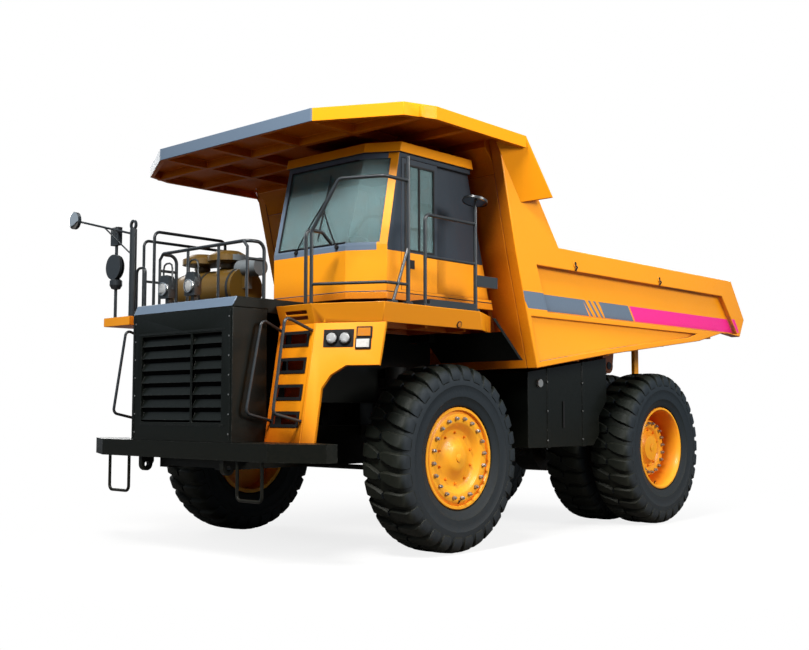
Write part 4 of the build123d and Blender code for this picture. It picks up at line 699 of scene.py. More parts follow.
def ring_tree():
    """Copies of a part turned about an axis through a centre."""
    tree, given = repeat_tree(
        "ring_of_parts",
        [
            ("Count", "NodeSocketInt"),
            ("Phase", "NodeSocketFloat"),
            ("Centre", "NodeSocketVector"),
            ("Axis", "NodeSocketVector"),
        ],
    )
    copies = copies_on_line(tree, given, (0, 0, 0))
    index = tree.nodes.new("GeometryNodeInputIndex").outputs[0]
    step = math_node(tree, "DIVIDE", math.tau, given["Count"])
    angle = plus(tree, times(tree, index, step), given["Phase"])
    scaled = {0: given["Axis"], "Scale": angle}
    turn = node(tree, "ShaderNodeVectorMath", scaled, operation="SCALE").outputs[0]
    values = {
        "Instances": copies,
        "Rotation": turn,
        "Pivot Point": given["Centre"],
        "Local Space": False,
    }
    turned = node(tree, "GeometryNodeRotateInstances", values)
    return close_tree(tree, given, turned.outputs[0])


def row_tree():
    """Copies of a part, each a step on from the last."""
    tree, given = repeat_tree("row_of_parts", [("Count", "NodeSocketInt"), ("Step", "NodeSocketVector")])
    return close_tree(tree, given, copies_on_line(tree, given, given["Step"]))


def repeated(part, tree, finish, **values):
    """Plain mesh of a part repeated by a tree."""
    source = part.mesh_only()
    holder = bpy.data.objects.new("repeat_holder", source)
    bpy.context.scene.collection.objects.link(holder)
    modifier = holder.modifiers.new("repeat", "NODES")
    modifier.node_group = GROUPS[tree]
    values["Finish"] = MATERIALS[finish]
    for item in GROUPS[tree].interface.items_tree:
        if item.in_out == "INPUT" and item.name in values:
            modifier[item.identifier] = values[item.name]
    holder.update_tag()
    depsgraph = bpy.context.evaluated_depsgraph_get()
    mesh = bpy.data.meshes.new_from_object(holder.evaluated_get(depsgraph))
    bpy.data.objects.remove(holder)
    return mesh


# Mesh helpers


class Sketch:
    """Collects the faces of one piece, each with its finish."""

    def __init__(self, finish):
        self.mesh = bmesh.new()
        self.finishes = [finish]
        self.index = 0

    def paint(self, finish):
        """Later faces get this finish."""
        if finish not in self.finishes:
            self.finishes.append(finish)
        self.index = self.finishes.index(finish)
        return self

    def face(self, corners):
        """One face."""
        made = self.mesh.faces.new(corners)
        made.material_index = self.index

    def loft(self, rings):
        """Skin over rings that have the same number of points, closed at both ends."""
        rows = [[self.mesh.verts.new(point) for point in ring] for ring in rings]
        count = len(rows[0])
        for a, b in zip(rows, rows[1:]):
            for k in range(count):
                m = (k + 1) % count
                self.face((a[k], a[m], b[m], b[k]))
        self.face(rows[0][::-1])
        self.face(rows[-1])
        return self

    def prism(self, points, run):
        """Flat outline carried along a vector."""
        run = Vector(run)
        return self.loft([[Vector(p) for p in points], [Vector(p) + run for p in points]])

    def box(self, low, high):
        """Box between two corners."""
        a, b = Vector(low), Vector(high)
        corners = [(x, y, a.z) for x, y in corner_pairs((a.x, b.x), (a.y, b.y))]
        return self.prism(corners, (0, 0, b.z - a.z))

    def lathe(self, profile, centre, axis=(1, 0, 0), segments=48, loop=False):
        """Profile of (distance along the axis, radius) turned round the axis."""
        centre = Vector(centre)
        ahead = Vector(axis).normalized()
        across = ahead.orthogonal().normalized()
        up = ahead.cross(across)
        rows = []
        for along, radius in profile:
            middle_point = centre + ahead * along
            if radius < 1e-6:
                rows.append([self.mesh.verts.new(middle_point)])
                continue
            row = []
            for k in range(segments):
                angle = math.tau * k / segments
                spoke = across * math.cos(angle) + up * math.sin(angle)
                row.append(self.mesh.verts.new(middle_point + spoke * radius))
            rows.append(row)
        if loop:
            rows.append(rows[0])
        for a, b in zip(rows, rows[1:]):
            for k in range(segments):
                m = k + 1
                corners = [a[k % len(a)], a[m % len(a)], b[m % len(b)], b[k % len(b)]]
                self.face(list(dict.fromkeys(corners)))
        return self

    def tube(self, points, radius, sides=12):
        """Round bar along points."""
        points = [Vector(p) for p in points]
        normal = None
        rings = []
        for k, point in enumerate(points):
            ahead = (points[min(k + 1, len(points) - 1)] - points[max(k - 1, 0)]).normalized()
            normal = ahead.orthogonal() if normal is None else normal - ahead * normal.dot(ahead)
            normal.normalize()
            across = ahead.cross(normal)
            ring = []
            for step in range(sides):
                angle = math.tau * step / sides
                spoke = normal * math.cos(angle) + across * math.sin(angle)
                ring.append(point + spoke * radius)
            rings.append(ring)
        return self.loft(rings)

    def nut(self, centre, axis, radius, height):
        """Six-sided nut with a rounded end and its stud."""
        body = [(0, 0), (0, radius), (height * 0.8, radius), (height, radius * 0.85), (height, 0)]
        self.lathe(body, centre, axis, 6)
        stud = [(0, 0), (0, radius * 0.45), (height * 1.35, radius * 0.45), (height * 1.4, 0)]
        return self.lathe(stud, centre, axis, 8)

    def add(self, mesh):
        """Faces of another mesh, with the present finish."""
        faces = len(self.mesh.faces)
        self.mesh.from_mesh(mesh)
        self.mesh.faces.ensure_lookup_table()
        for made in self.mesh.faces[faces:]:
            made.material_index = self.index

    def mesh_only(self):
        """Mesh of the faces so far."""
        bmesh.ops.recalc_face_normals(self.mesh, faces=self.mesh.faces)
        mesh = bpy.data.meshes.new("part")
        self.mesh.to_mesh(mesh)
        return mesh

    def piece(self, name, body, slot, bevel=0.0, smooth=35, replaces=()):
        """Finished piece that rides on a body, with the edges' rounding and smooth angle in degrees."""
        mesh = self.mesh_only()
        self.mesh.free()
        mesh.name = name
        for finish in self.finishes:
            mesh.materials.append(MATERIALS[finish])
        return dress(name, mesh, body, bevel, smooth, replaces)


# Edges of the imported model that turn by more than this, in degrees, stay sharp or are rounded
SHARP_ANGLE = 30


def dress(name, mesh, body, bevel, smooth, replaces):
    """Object for a mesh, with smooth shading, rounded edges and its place in the frame."""
    mesh.shade_smooth()
    mesh.set_sharp_from_angle(angle=math.radians(smooth))
    piece = bpy.data.objects.new(name, mesh)
    bpy.context.scene.collection.objects.link(piece)
    if bevel:
        rounding = piece.modifiers.new("edges", "BEVEL")
        rounding.width = bevel
        rounding.segments = 2
        rounding.limit_method = "ANGLE"
        rounding.angle_limit = math.radians(SHARP_ANGLE)
    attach(piece, body)
    if replaces:
        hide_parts(*replaces)
    return piece


# Faces of a node that differ from its main finish: finish, and the box their middles lie in, from the
# front axle, or the point that they face
DECK_TOP = ("chassis_paint-plate", "box", (-3, -3, 2.77), (3, 3, 2.9))
CAB_INSIDE = ("cab_lining", "towards", (1.03, -0.1, 3.8), None)
BED_SIDE = ("worn_bed", "towards", (0.0, 3.9, 3.2), None)
BED_END = ("worn_bed", "towards", (0.0, 3.9, 4.2), None)
GREY_CANISTER = ("grey_paint", "box", (-0.42, -1.4, 3.22), (0.0, -1.0, 3.6))
FACE_RULES = {
    "deck_left": DECK_TOP,
    "deck_right": DECK_TOP,
    "cab_body": CAB_INSIDE,
    "cab_roof": CAB_INSIDE,
    "cab_floor": CAB_INSIDE,
    "air_cleaners": GREY_CANISTER,
    "body_floor": BED_END,
    "body_side_left": BED_SIDE,
    "body_side_right": BED_SIDE,
    "body_front_wall": BED_END,
}
# A face looks towards a point if this cosine is passed
TOWARDS = 0.08
MERGE_REACH = 0.00002
FLAT_ANGLE = 0.6


def has_second_finish(rule, middle_point, normal):
    """Whether a face falls under the node's rule."""
    _, kind, low, high = rule
    if kind == "box":
        return all(a <= value <= b for a, value, b in zip(at(*low), middle_point, at(*high)))
    return normal.dot((at(*low) - middle_point).normalized()) > TOWARDS


def rounded_copy(name, finish, bevel):
    """Copy of a CAD node with merged corners, rounded edges and its finishes, in its place."""
    source = NODES[name]
    work = bmesh.new()
    work.from_mesh(source.data)
    bmesh.ops.remove_doubles(work, verts=work.verts, dist=MERGE_REACH)
    flat = math.radians(FLAT_ANGLE)
    bmesh.ops.dissolve_limit(work, angle_limit=flat, verts=work.verts, edges=work.edges)
    mesh = bpy.data.meshes.new(name + "_finished")
    rule = FACE_RULES.get(name)
    for made in work.faces:
        second = rule and has_second_finish(rule, made.calc_center_median(), made.normal)
        made.material_index = int(bool(second))
    work.to_mesh(mesh)
    work.free()
    mesh.materials.append(MATERIALS[finish])
    if rule:
        mesh.materials.append(MATERIALS[rule[0]])
    body = source["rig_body"]
    return dress(name + "_finished", mesh, body, bevel, SHARP_ANGLE, (name,))


def record_slots():
    """The record's material slot of each node."""
    found = {}
    for row in frame["record"]["subparts"]:
        found[row["node"]] = row["material_slot"]
    return found


SLOT_OF = record_slots()

# Nodes that keep their own mesh, by finish
PLAIN_NODES = {
    "iron": (
        "front_struts",
        "knuckle_left",
        "knuckle_right",
        "tie_rod",
        "rear_axle",
        "engine_block",
        "driveline",
    ),
    "cab_glass": ("windshield", "cab_glass_right", "cab_glass_rear", "cab_door_glass"),
    "cab_lining": ("dashboard",),
    "rail_paint": ("handrails_left", "handrails_right", "hood_guard", "mirrors"),
    "chassis_paint": ("hoist_barrel_left", "hoist_barrel_right", "front_bumper"),
    "chrome": ("hoist_rod_left", "hoist_rod_right"),
    "rubber": ("tyre_front_left", "tyre_front_right", "tyres_rear_left", "tyres_rear_right"),
    "rim_paint": ("rim_front_left", "rim_front_right", "rims_rear_left", "rims_rear_right"),
}
# Nodes that are copied with rounded edges, with their finish and share of the panel rounding
ROUNDED_NODES = {
    "frame_rails": ("chassis_paint", 1.5),
    "radiator": ("chassis_paint", 0.6),
    "hood": ("chassis_paint-hood", 2.0),
    "fender_left": ("body_paint", 1.0),
    "fender_right": ("body_paint", 1.0),
    "deck_left": ("body_paint", 1.0),
    "deck_right": ("body_paint", 1.0),
    "cab_floor": ("body_paint", 1.0),
    "cab_body": ("body_paint-cab", 0.8),
    "cab_roof": ("body_paint-roof", 1.5),
    "cab_door": ("body_paint-cab", 0.5),
    "fuel_tank": ("chassis_paint", 4.0),
    "hydraulic_tank": ("chassis_paint", 4.0),
    "body_side_left": ("body_paint-side", 2.0),
    "body_side_right": ("body_paint-side", 2.0),
    "body_floor": ("body_paint", 1.5),
    "body_front_wall": ("body_paint", 2.0),
    "canopy": ("body_paint-canopy", 1.5),
    "rock_ejectors": ("rim_paint", 1.5),
    "mudguard_left": ("chassis_paint", 0.5),
    "mudguard_right": ("chassis_paint", 0.5),
    "air_cleaners": ("cleaner_paint", 1.5),
}


class TruckOperator:
    """Shared settings of the truck's operators."""

    bl_options = {"REGISTER", "UNDO"}


class TRUCK_OT_finishes(TruckOperator, bpy.types.Operator):
    """Makes the materials and finishes every node of the model"""

    bl_idname = "truck.finishes"
    bl_label = "Finishes"

    def execute(self, context):
        make_materials()
        GROUPS["ring"] = ring_tree()
        GROUPS["row"] = row_tree()
        for finish, names in PLAIN_NODES.items():
            for name in names:
                for slot in NODES[name].material_slots:
                    slot.material = MATERIALS[finish]
                NODES[name].data.shade_smooth()
                NODES[name].data.set_sharp_from_angle(angle=math.radians(SHARP_ANGLE))
        for name, (finish, share) in ROUNDED_NODES.items():
            rounded_copy(name, finish, context.scene.truck_sizes.paint_round * share)
        return {"FINISHED"}


# Tyre outline from the bead to the crown, as (half width, radius) for one half
TYRE_HALF_PROFILE = (
    (0.228, 0.562),
    (0.236, 0.588),
    (0.262, 0.604),
    (0.284, 0.655),
    (0.296, 0.700),
    (0.300, 0.704),
    (0.303, 0.760),
    (0.305, 0.830),
    (0.309, 0.836),
    (0.307, 0.890),
    (0.298, 0.940),
    (0.280, 0.985),
    (0.252, 1.015),
    (0.200, 1.030),
    (0.100, 1.036),
    (0.0, 1.038),
)
# Lug outline from the middle of the tread over the shoulder:
# outer half width and radius, inner half width and radius, lean along the tread, share of the half width
LUG_STATIONS = (
    (0.016, 1.082, 0.016, 1.020, 0.060, 0.45),
    (0.060, 1.084, 0.060, 1.020, 0.048, 0.72),
    (0.120, 1.084, 0.120, 1.020, 0.030, 0.92),
    (0.190, 1.080, 0.190, 1.012, 0.010, 1.00),
    (0.248, 1.066, 0.244, 0.998, -0.004, 1.04),
    (0.284, 1.036, 0.266, 0.970, -0.010, 1.04),
    (0.303, 0.990, 0.286, 0.945, -0.012, 1.02),
    (0.309, 0.940, 0.298, 0.920, -0.012, 0.94),
    (0.307, 0.905, 0.300, 0.900, -0.012, 0.80),
)
LUG_CHAMFER = 0.010
LUG_FLARE = 1.12
TYRE_SEGMENTS = 96


def lug_sketch(centre, side, half_width):
    """Lug of one shoulder above the tyre's middle, with its top on the tread's arc."""
    lug = Sketch("rubber")
    rings = []
    for out_x, out_r, in_x, in_r, lean, share in LUG_STATIONS:
        width = half_width * share
        ring = []
        for x, r, t in (
            (in_x, in_r, -width * LUG_FLARE),
            (out_x, out_r - LUG_CHAMFER, -width),
            (out_x, out_r, -width + LUG_CHAMFER),
            (out_x, out_r, width - LUG_CHAMFER),
            (out_x, out_r - LUG_CHAMFER, width),
            (in_x, in_r, width * LUG_FLARE),
        ):
            along = t + side * lean
            ring.append(centre + Vector((side * x, along, math.sqrt(r * r - along * along))))
        rings.append(ring)
    return lug.loft(rings)


def add_tyre(sketch, centre, sizes):
    """Carcass and both rows of lugs of one tyre."""
    mirrored = [(-x, r) for x, r in reversed(TYRE_HALF_PROFILE[:-1])]
    sketch.lathe([*TYRE_HALF_PROFILE, *mirrored], centre, segments=TYRE_SEGMENTS, loop=True)
    for side in SIDES.values():
        values = {
            "Count": sizes.lugs,
            "Phase": math.pi / sizes.lugs if side * centre.x > 0 else 0.0,
            "Centre": tuple(centre),
            "Axis": (1.0, 0.0, 0.0),
        }
        sketch.add(repeated(lug_sketch(centre, side, sizes.lug_half), "ring", "rubber", **values))


class TRUCK_OT_tyres(TruckOperator, bpy.types.Operator):
    """Tyres with moulded sidewalls and two rows of lugs"""

    bl_idname = "truck.tyres"
    bl_label = "Tyres"

    def execute(self, context):
        table = (
            # piece, body, replaced node, axle, middles of its tyres
            ("tread_front", "wheel_front", "tyre_front", FRONT_AXLE, (FRONT_WHEEL_X,)),
            ("treads_rear", "wheels_rear", "tyres_rear", REAR_AXLE, (REAR_OUTER_X, REAR_INNER_X)),
        )
        for name, side in SIDES.items():
            for piece, body, replaced, axle, xs in table:
                sketch = Sketch("rubber")
                for x in xs:
                    add_tyre(sketch, Vector((side * x, axle, WHEEL_Z)), context.scene.truck_sizes)
                sketch.piece(
                    f"{piece}_{name}", f"{body}_{name}", "tyre_rubber", replaces=(f"{replaced}_{name}",)
                )
        return {"FINISHED"}


# Front wheel from its back to its hub cap, as (distance out from the wheel's middle, radius)
FRONT_RIM_PROFILE = (
    (-0.222, 0.215),
    (-0.222, 0.200),
    (-0.060, 0.200),
    (-0.030, 0.532),
    (-0.258, 0.535),
    (-0.258, 0.580),
    (-0.234, 0.585),
    (-0.228, 0.560),
    (0.222, 0.560),
    (0.230, 0.583),
    (0.252, 0.585),
    (0.258, 0.578),
    (0.258, 0.552),
    (0.250, 0.545),
    (0.226, 0.540),
    (0.233, 0.515),
    (0.243, 0.505),
    (0.245, 0.498),
    (0.245, 0.412),
    (0.241, 0.402),
    (0.212, 0.362),
    (0.189, 0.332),
    (0.185, 0.322),
    (0.185, 0.262),
    (0.190, 0.248),
    (0.214, 0.182),
    (0.230, 0.162),
    (0.247, 0.120),
    (0.252, 0.060),
    (0.253, 0.0),
)
# Rear wheel's disc side, as (distance out from the outer rim's middle, radius)
REAR_RIM_PROFILE = (
    (-1.030, 0.532),
    (-1.030, 0.583),
    (-1.002, 0.585),
    (-0.996, 0.560),
    (0.228, 0.560),
    (0.234, 0.585),
    (0.256, 0.585),
    (0.262, 0.576),
    (0.262, 0.556),
    (0.250, 0.546),
    (0.180, 0.530),
    (0.030, 0.518),
    (-0.120, 0.512),
    (-0.168, 0.500),
    (-0.186, 0.470),
    (-0.190, 0.412),
    (-0.070, 0.404),
    (0.046, 0.401),
    (0.060, 0.392),
    (0.062, 0.318),
    (0.054, 0.300),
    (0.030, 0.272),
    (0.030, 0.245),
    (0.056, 0.205),
    (0.092, 0.176),
    (0.104, 0.120),
    (0.106, 0.0),
)


Wheel = namedtuple("Wheel", "piece body node x axle outline nuts bolts cap valve disc_nuts")
WHEELS = (
    # nuts, bolts, cap and disc nuts are given as their radius and how far out they stand
    Wheel(
        piece="wheel_front",
        body="wheel_front",
        node="rim_front",
        x=FRONT_WHEEL_X,
        axle=FRONT_AXLE,
        outline=FRONT_RIM_PROFILE,
        nuts=(0.456, 0.243),
        bolts=(0.292, 0.185),
        cap=(0.050, 0.253),
        valve=0.213,
        disc_nuts=None,
    ),
    Wheel(
        piece="wheel_rear",
        body="wheels_rear",
        node="rims_rear",
        x=REAR_OUTER_X,
        axle=REAR_AXLE,
        outline=REAR_RIM_PROFILE,
        nuts=(0.356, 0.061),
        bolts=(0.259, 0.03),
        cap=(0.055, 0.106),
        valve=0.1,
        disc_nuts=(0.440, -0.189),
    ),
)
RIM_SEGMENTS = 96
HUB_BOLTS = 10
VALVE_DROP = -0.52


class TRUCK_OT_wheels(TruckOperator, bpy.types.Operator):
    """Rims with hubs, nuts and valves"""

    bl_idname = "truck.wheels"
    bl_label = "Wheels"

    def execute(self, context):
        for wheel in WHEELS:
            for name, side in SIDES.items():
                self.rim(context.scene.truck_sizes, wheel, name, side)
        return {"FINISHED"}

    def rim(self, sizes, wheel, name, side):
        """One side's rim with its nuts."""
        centre = Vector((side * wheel.x, wheel.axle, WHEEL_Z))
        out = (side, 0, 0)

        def ring_of_nuts(place, radius, height, finish, count, phase=0.0):
            ring_r, depth = place
            nut = Sketch(finish)
            nut.nut(centre + Vector((side * depth, 0, ring_r)), out, radius, height)
            values = {"Count": count, "Phase": phase, "Centre": tuple(centre), "Axis": (1.0, 0.0, 0.0)}
            sketch.add(repeated(nut, "ring", finish, **values))

        sketch = Sketch("rim_paint")
        back, hole = wheel.outline[0]
        outline = list(wheel.outline)
        if wheel.disc_nuts is None:
            sketch.lathe([(back, 0.0), *outline], centre, out, RIM_SEGMENTS)
        else:
            sketch.lathe(outline, centre, out, RIM_SEGMENTS)
            sketch.lathe([(back, 0.0), (back, hole)], centre, out, RIM_SEGMENTS)
        sketch.paint("steel")
        ring_of_nuts(wheel.nuts, 0.023, 0.038, "steel", sizes.nuts, 0.1)
        sketch.paint("rim_paint")
        ring_of_nuts(wheel.bolts, 0.013, 0.024, "rim_paint", HUB_BOLTS)
        cap_r, cap_x = wheel.cap
        plug = [(0, 0), (0, cap_r), (0.012, cap_r * 0.95), (0.018, cap_r * 0.5), (0.02, 0.0)]
        sketch.lathe(plug, centre + Vector((side * (cap_x - 0.003), 0, 0)), out, 24)
        sketch.paint("black_trim")
        if wheel.disc_nuts:
            ring_of_nuts(wheel.disc_nuts, 0.018, 0.030, "rim_paint", sizes.nuts)
        foot = centre + Vector((side * wheel.valve, 0, VALVE_DROP))
        stem = [foot + Vector((side * x, 0, z)) for x, z in ((0, 0), (0.03, 0.01), (0.05, 0.04))]
        sketch.tube(stem, 0.008, 8)
        replaced = (f"{wheel.node}_{name}",)
        sketch.piece(f"{wheel.piece}_{name}", f"{wheel.body}_{name}", "rim_orange", 0, 32, replaced)


# Openings of the grille, as across and up, and how deep its core lies behind the front
GRILLE_COLUMNS = ((-0.74, 0.19), (0.23, 0.74))
GRILLE_Z = (1.50, 2.48)
GRILLE_DEPTH = 0.060
GRILLE_EDGE_X = 0.868
GRILLE_EDGE_Z = (1.38, 2.64)
FIN_HALF_W = 0.002
FIN_DEPTH = 0.012
# Bars round the grille: left edges and heights of the upright ones, reach and places of the level ones
BAR_W = 0.02
SIDE_BAR_XS = (-0.90, 0.88)
SIDE_BAR_Z = (1.32, 2.71)
CROSS_BAR_X = 0.80
CROSS_BAR_ZS = (1.46, 2.50)


class TRUCK_OT_front(TruckOperator, bpy.types.Operator):
    """Core fins behind the grille's slats, and the bars and bolts round it"""

    bl_idname = "truck.front"
    bl_label = "Front"

    def execute(self, context):
        sizes = context.scene.truck_sizes
        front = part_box("radiator")[0].y
        back = front + GRILLE_DEPTH
        bottom, top = GRILLE_Z
        sketch = Sketch("black_trim")
        for low, high in GRILLE_COLUMNS:
            count = int((high - low) * sizes.fins)
            pitch = (high - low) / count
            x = low + pitch / 2
            outline = [
                (x - FIN_HALF_W, back + 0.001, bottom),
                (x, back - FIN_DEPTH, bottom),
                (x + FIN_HALF_W, back + 0.001, bottom),
            ]
            fin = Sketch("black_trim").prism(outline, (0, 0, top - bottom))
            sketch.add(repeated(fin, "row", "black_trim", Count=count, Step=(pitch, 0.0, 0.0)))
        sketch.paint("chassis_paint")
        for x in SIDE_BAR_XS:
            sketch.box((x, front - 0.005, SIDE_BAR_Z[0]), (x + BAR_W, front + 0.01, SIDE_BAR_Z[1]))
        for z in CROSS_BAR_ZS:
            sketch.box((-CROSS_BAR_X, front - 0.004, z), (CROSS_BAR_X, front + 0.01, z + BAR_W))
        sketch.paint("steel")
        step = (GRILLE_EDGE_Z[1] - GRILLE_EDGE_Z[0]) / (sizes.bolts - 1)
        for side in SIDES.values():
            bolt = Sketch("steel")
            foot = (side * GRILLE_EDGE_X, front + 0.0005, GRILLE_EDGE_Z[0])
            bolt.nut(foot, (0, -1, 0), 0.010, 0.0045)
            sketch.add(repeated(bolt, "row", "steel", Count=sizes.bolts, Step=(0.0, 0.0, step)))
        sketch.piece("grille_core", "chassis", "frame_dark", 0.0)
        return {"FINISHED"}


# The swept lamp panel: foot of its fold from the front axle, its sweep and its rake in degrees
PANEL_FOOT = (1.5, -1.93, 1.29)
PANEL_SWEEP = 25.6
PANEL_RAKE = 9.5
# Lamps on it: kind, distance out from the fold, height, half width or radius, half height
PANEL_LAMPS = (
    ("head", 0.215, 2.40, 0.060, 0.0),
    ("head", 0.365, 2.40, 0.060, 0.0),
    ("turn", 0.575, 2.46, 0.075, 0.050),
    ("position", 0.575, 2.34, 0.075, 0.050),
)
# Black plate behind a panel's head lamps, and how far plates and lenses stand proud of it
HEAD_PLATE = (0.290, 2.40, 0.170, 0.095)
PLATE_PROUD = (0.0006, 0.006)
BEZEL_PROUD = (0.0006, 0.012)
LENS_PROUD = (0.0125, 0.024)
# Marker lamp low on the deck's side, and the lean of the face that it stands on
MARKER_PLACE = (2.193, -0.12, 2.61)
MARKER_AIM = (0.949, 0, -0.316)
# Work lamps on the hood, with the housing's outline as across and up, its steps as depth and share,
# and the hoop over it
WORK_LAMP_XS = (-0.48, 0.01)
WORK_LAMP_Y = -2.22
WORK_LAMP_Z = 3.04
WORK_LAMP_R = 0.069
HOUSING_Z = 3.05
HOUSING_OUTLINE = (
    (-0.095, 2.93),
    (0.095, 2.93),
    (0.095, 3.13),
    (0.06, 3.20),
    (-0.06, 3.20),
    (-0.095, 3.13),
)
HOUSING_STEPS = ((0.110, 0.82), (0.095, 0.94), (0.0, 1.0))
HOOP = (
    (-0.085, 3.10),
    (-0.085, 3.28),
    (-0.070, 3.325),
    (-0.030, 3.345),
    (0.030, 3.345),
    (0.070, 3.325),
    (0.085, 3.28),
    (0.085, 3.10),
)


class PanelFrame:
    """Places on one side's lamp panel, as out from the fold, up the slope and proud of the panel."""

    def __init__(self, side):
        sweep = math.radians(PANEL_SWEEP)
        rake = math.radians(PANEL_RAKE)
        self.side = side
        self.out = Vector((math.cos(sweep), math.sin(sweep), 0))
        self.fold = Vector((0, math.sin(rake), math.cos(rake)))
        self.proud = self.out.cross(self.fold).normalized()
        self.up = self.proud.cross(self.out)

    def mirrored(self, vector):
        """Vector of the left side moved to this side."""
        return Vector((self.side * vector.x, vector.y, vector.z))

    def point(self, s, z, across=0.0, along=0.0, proud=0.0):
        """Point near the one that lies s from the fold at height z."""
        foot = Vector(PANEL_FOOT) + self.fold * ((z - PANEL_FOOT[2]) / self.fold.z) + self.out * s
        spot = foot + self.out * across + self.up * along + self.proud * proud
        return self.mirrored(spot) + Vector((0, FRONT_AXLE, 0))

    def plate(self, sketch, s, z, half_w, half_h, low, high):
        """Flat plate round a place on the panel."""
        corners = corner_pairs((-half_w, half_w), (-half_h, half_h))
        rings = []
        for proud in (low, high):
            rings.append([self.point(s, z, across, along, proud) for across, along in corners])
        sketch.loft(rings)


def round_lamp(sketch, centre, axis, radius, bezel, lens):
    """Bezel, bright reflector and domed lens of a round lamp."""
    parts = (
        # finish, outline as height and share of the radius
        (bezel, ((0.0, 1.16), (0.020, 1.16), (0.027, 1.10), (0.027, 1.02), (0.016, 0.98), (0.004, 0.98))),
        ("chrome", ((0.015, 0.97), (0.007, 0.7), (0.002, 0.3), (0.001, 0.0))),
        (lens, ((0.017, 0.98), (0.026, 0.86), (0.032, 0.55), (0.035, 0.0))),
    )
    for finish, outline in parts:
        sketch.paint(finish)
        sketch.lathe([(height, radius * share) for height, share in outline], centre, axis, 36)
    return sketch


class TRUCK_OT_lamps(TruckOperator, bpy.types.Operator):
    """Head, signal, marker and work lamps with their lenses"""

    bl_idname = "truck.lamps"
    bl_label = "Lamps"

    def execute(self, context):
        sketch = Sketch("black_trim")
        for side in SIDES.values():
            panel = PanelFrame(side)
            sketch.paint("black_trim")
            panel.plate(sketch, *HEAD_PLATE, *PLATE_PROUD)
            for kind, s, z, half_w, half_h in PANEL_LAMPS:
                if kind == "head":
                    centre = panel.point(s, z, proud=PLATE_PROUD[1])
                    axis = panel.mirrored(panel.proud)
                    round_lamp(sketch, centre, axis, half_w, "black_trim", "clear_lens")
                    continue
                sketch.paint("black_trim")
                panel.plate(sketch, s, z, half_w + 0.012, half_h + 0.010, *BEZEL_PROUD)
                sketch.paint("amber_lens" if kind == "turn" else "white_lens")
                panel.plate(sketch, s, z, half_w - 0.004, half_h - 0.006, *LENS_PROUD)
            self.marker(sketch, side)
        for x in WORK_LAMP_XS:
            self.work_lamp(sketch, x)
        sketch.piece("lamp_set", "chassis", "lamp_glass", 0.0, 35, ("lamps",))
        return {"FINISHED"}

    def marker(self, sketch, side):
        """Amber marker lamp low on the deck's side."""
        centre = at(side * MARKER_PLACE[0], *MARKER_PLACE[1:])
        lean = Vector((side * MARKER_AIM[0], *MARKER_AIM[1:]))
        sketch.paint("black_trim")
        sketch.lathe([(0.0, 0.040), (0.010, 0.040), (0.012, 0.034)], centre, lean, 24)
        sketch.paint("amber_lens")
        sketch.lathe([(0.003, 0.034), (0.014, 0.030), (0.018, 0.0)], centre, lean, 24)

    def work_lamp(self, sketch, x):
        """Work lamp on the hood in its housing with a hoop over it."""
        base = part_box("hood")[1].z
        front = at(x, WORK_LAMP_Y - 0.055, 0).y
        middle_y = front + 0.055
        sketch.paint("rail_paint")
        sketch.box((x - 0.03, front + 0.045, base + 0.0005), (x + 0.03, front + 0.105, 2.95))
        rings = []
        for depth, share in HOUSING_STEPS:
            rings.append([
                (x + across * share, front + depth, HOUSING_Z + (z - HOUSING_Z) * share)
                for across, z in HOUSING_OUTLINE
            ])
        sketch.loft(rings)
        for side in (-1, 1):
            sketch.nut((x + side * 0.09, middle_y, WORK_LAMP_Z), (side, 0, 0), 0.012, 0.010)
        sketch.tube([(x + across, middle_y, z) for across, z in HOOP], 0.011, 10)
        lens = (x, front - 0.0005, WORK_LAMP_Z)
        round_lamp(sketch, lens, (0, -1, 0), WORK_LAMP_R, "chrome", "clear_lens")


# Windows of the cab: the door's and the right one's in Y and Z, the windshield's in X and Z
WINDOW_SEAL = 0.020
CAB_SIDE_X = 1.85
CAB_W = 1.63
DOOR_WINDOW_Y = (-0.67, -0.15)
DOOR_WINDOW_Z = (3.44, 4.44)
RIGHT_WINDOW_Y = (-0.62, 0.38)
RIGHT_WINDOW_Z = (3.51, 4.49)
WINDSHIELD_X = (0.30, 1.425)
WINDSHIELD_Z = (3.512, 4.488)
SEAL_R = 0.011
# The front wall's outer plane leans back from its sill to its head, as Y and Z
SCREEN_SILL = (-1.20, 3.48)
SCREEN_HEAD = (-0.945, 4.62)
# Door's sash bar and handle plate
SASH_HALF_W = 0.014
HANDLE_Y = (0.09, 0.17)
HANDLE_Z = (3.24, 3.34)
# Wipers: X of the pivot, X and Z of the blade's middle
WIPERS = (
    (0.62, 0.98, 4.05),
    (1.30, 0.98, 3.95),
)
WIPER_FOOT_Z = 3.47
# Mirrors: centre from the front axle, radius, distance of the face from the centre
REAR_VIEWS = (
    ((-2.36, -2.33, 4.06), 0.104, 0.0202),
    ((-1.86, -2.0625, 3.44), 0.150, 0.0477),
)
# Bowl mirror over the deck, and its tilt in degrees
BOWL_MIRROR = ((2.22, 0.15, 4.075), 0.142, 0.0128)
BOWL_TILT = 14
MAST_CAP = (-2.36, -2.3502, 4.06)


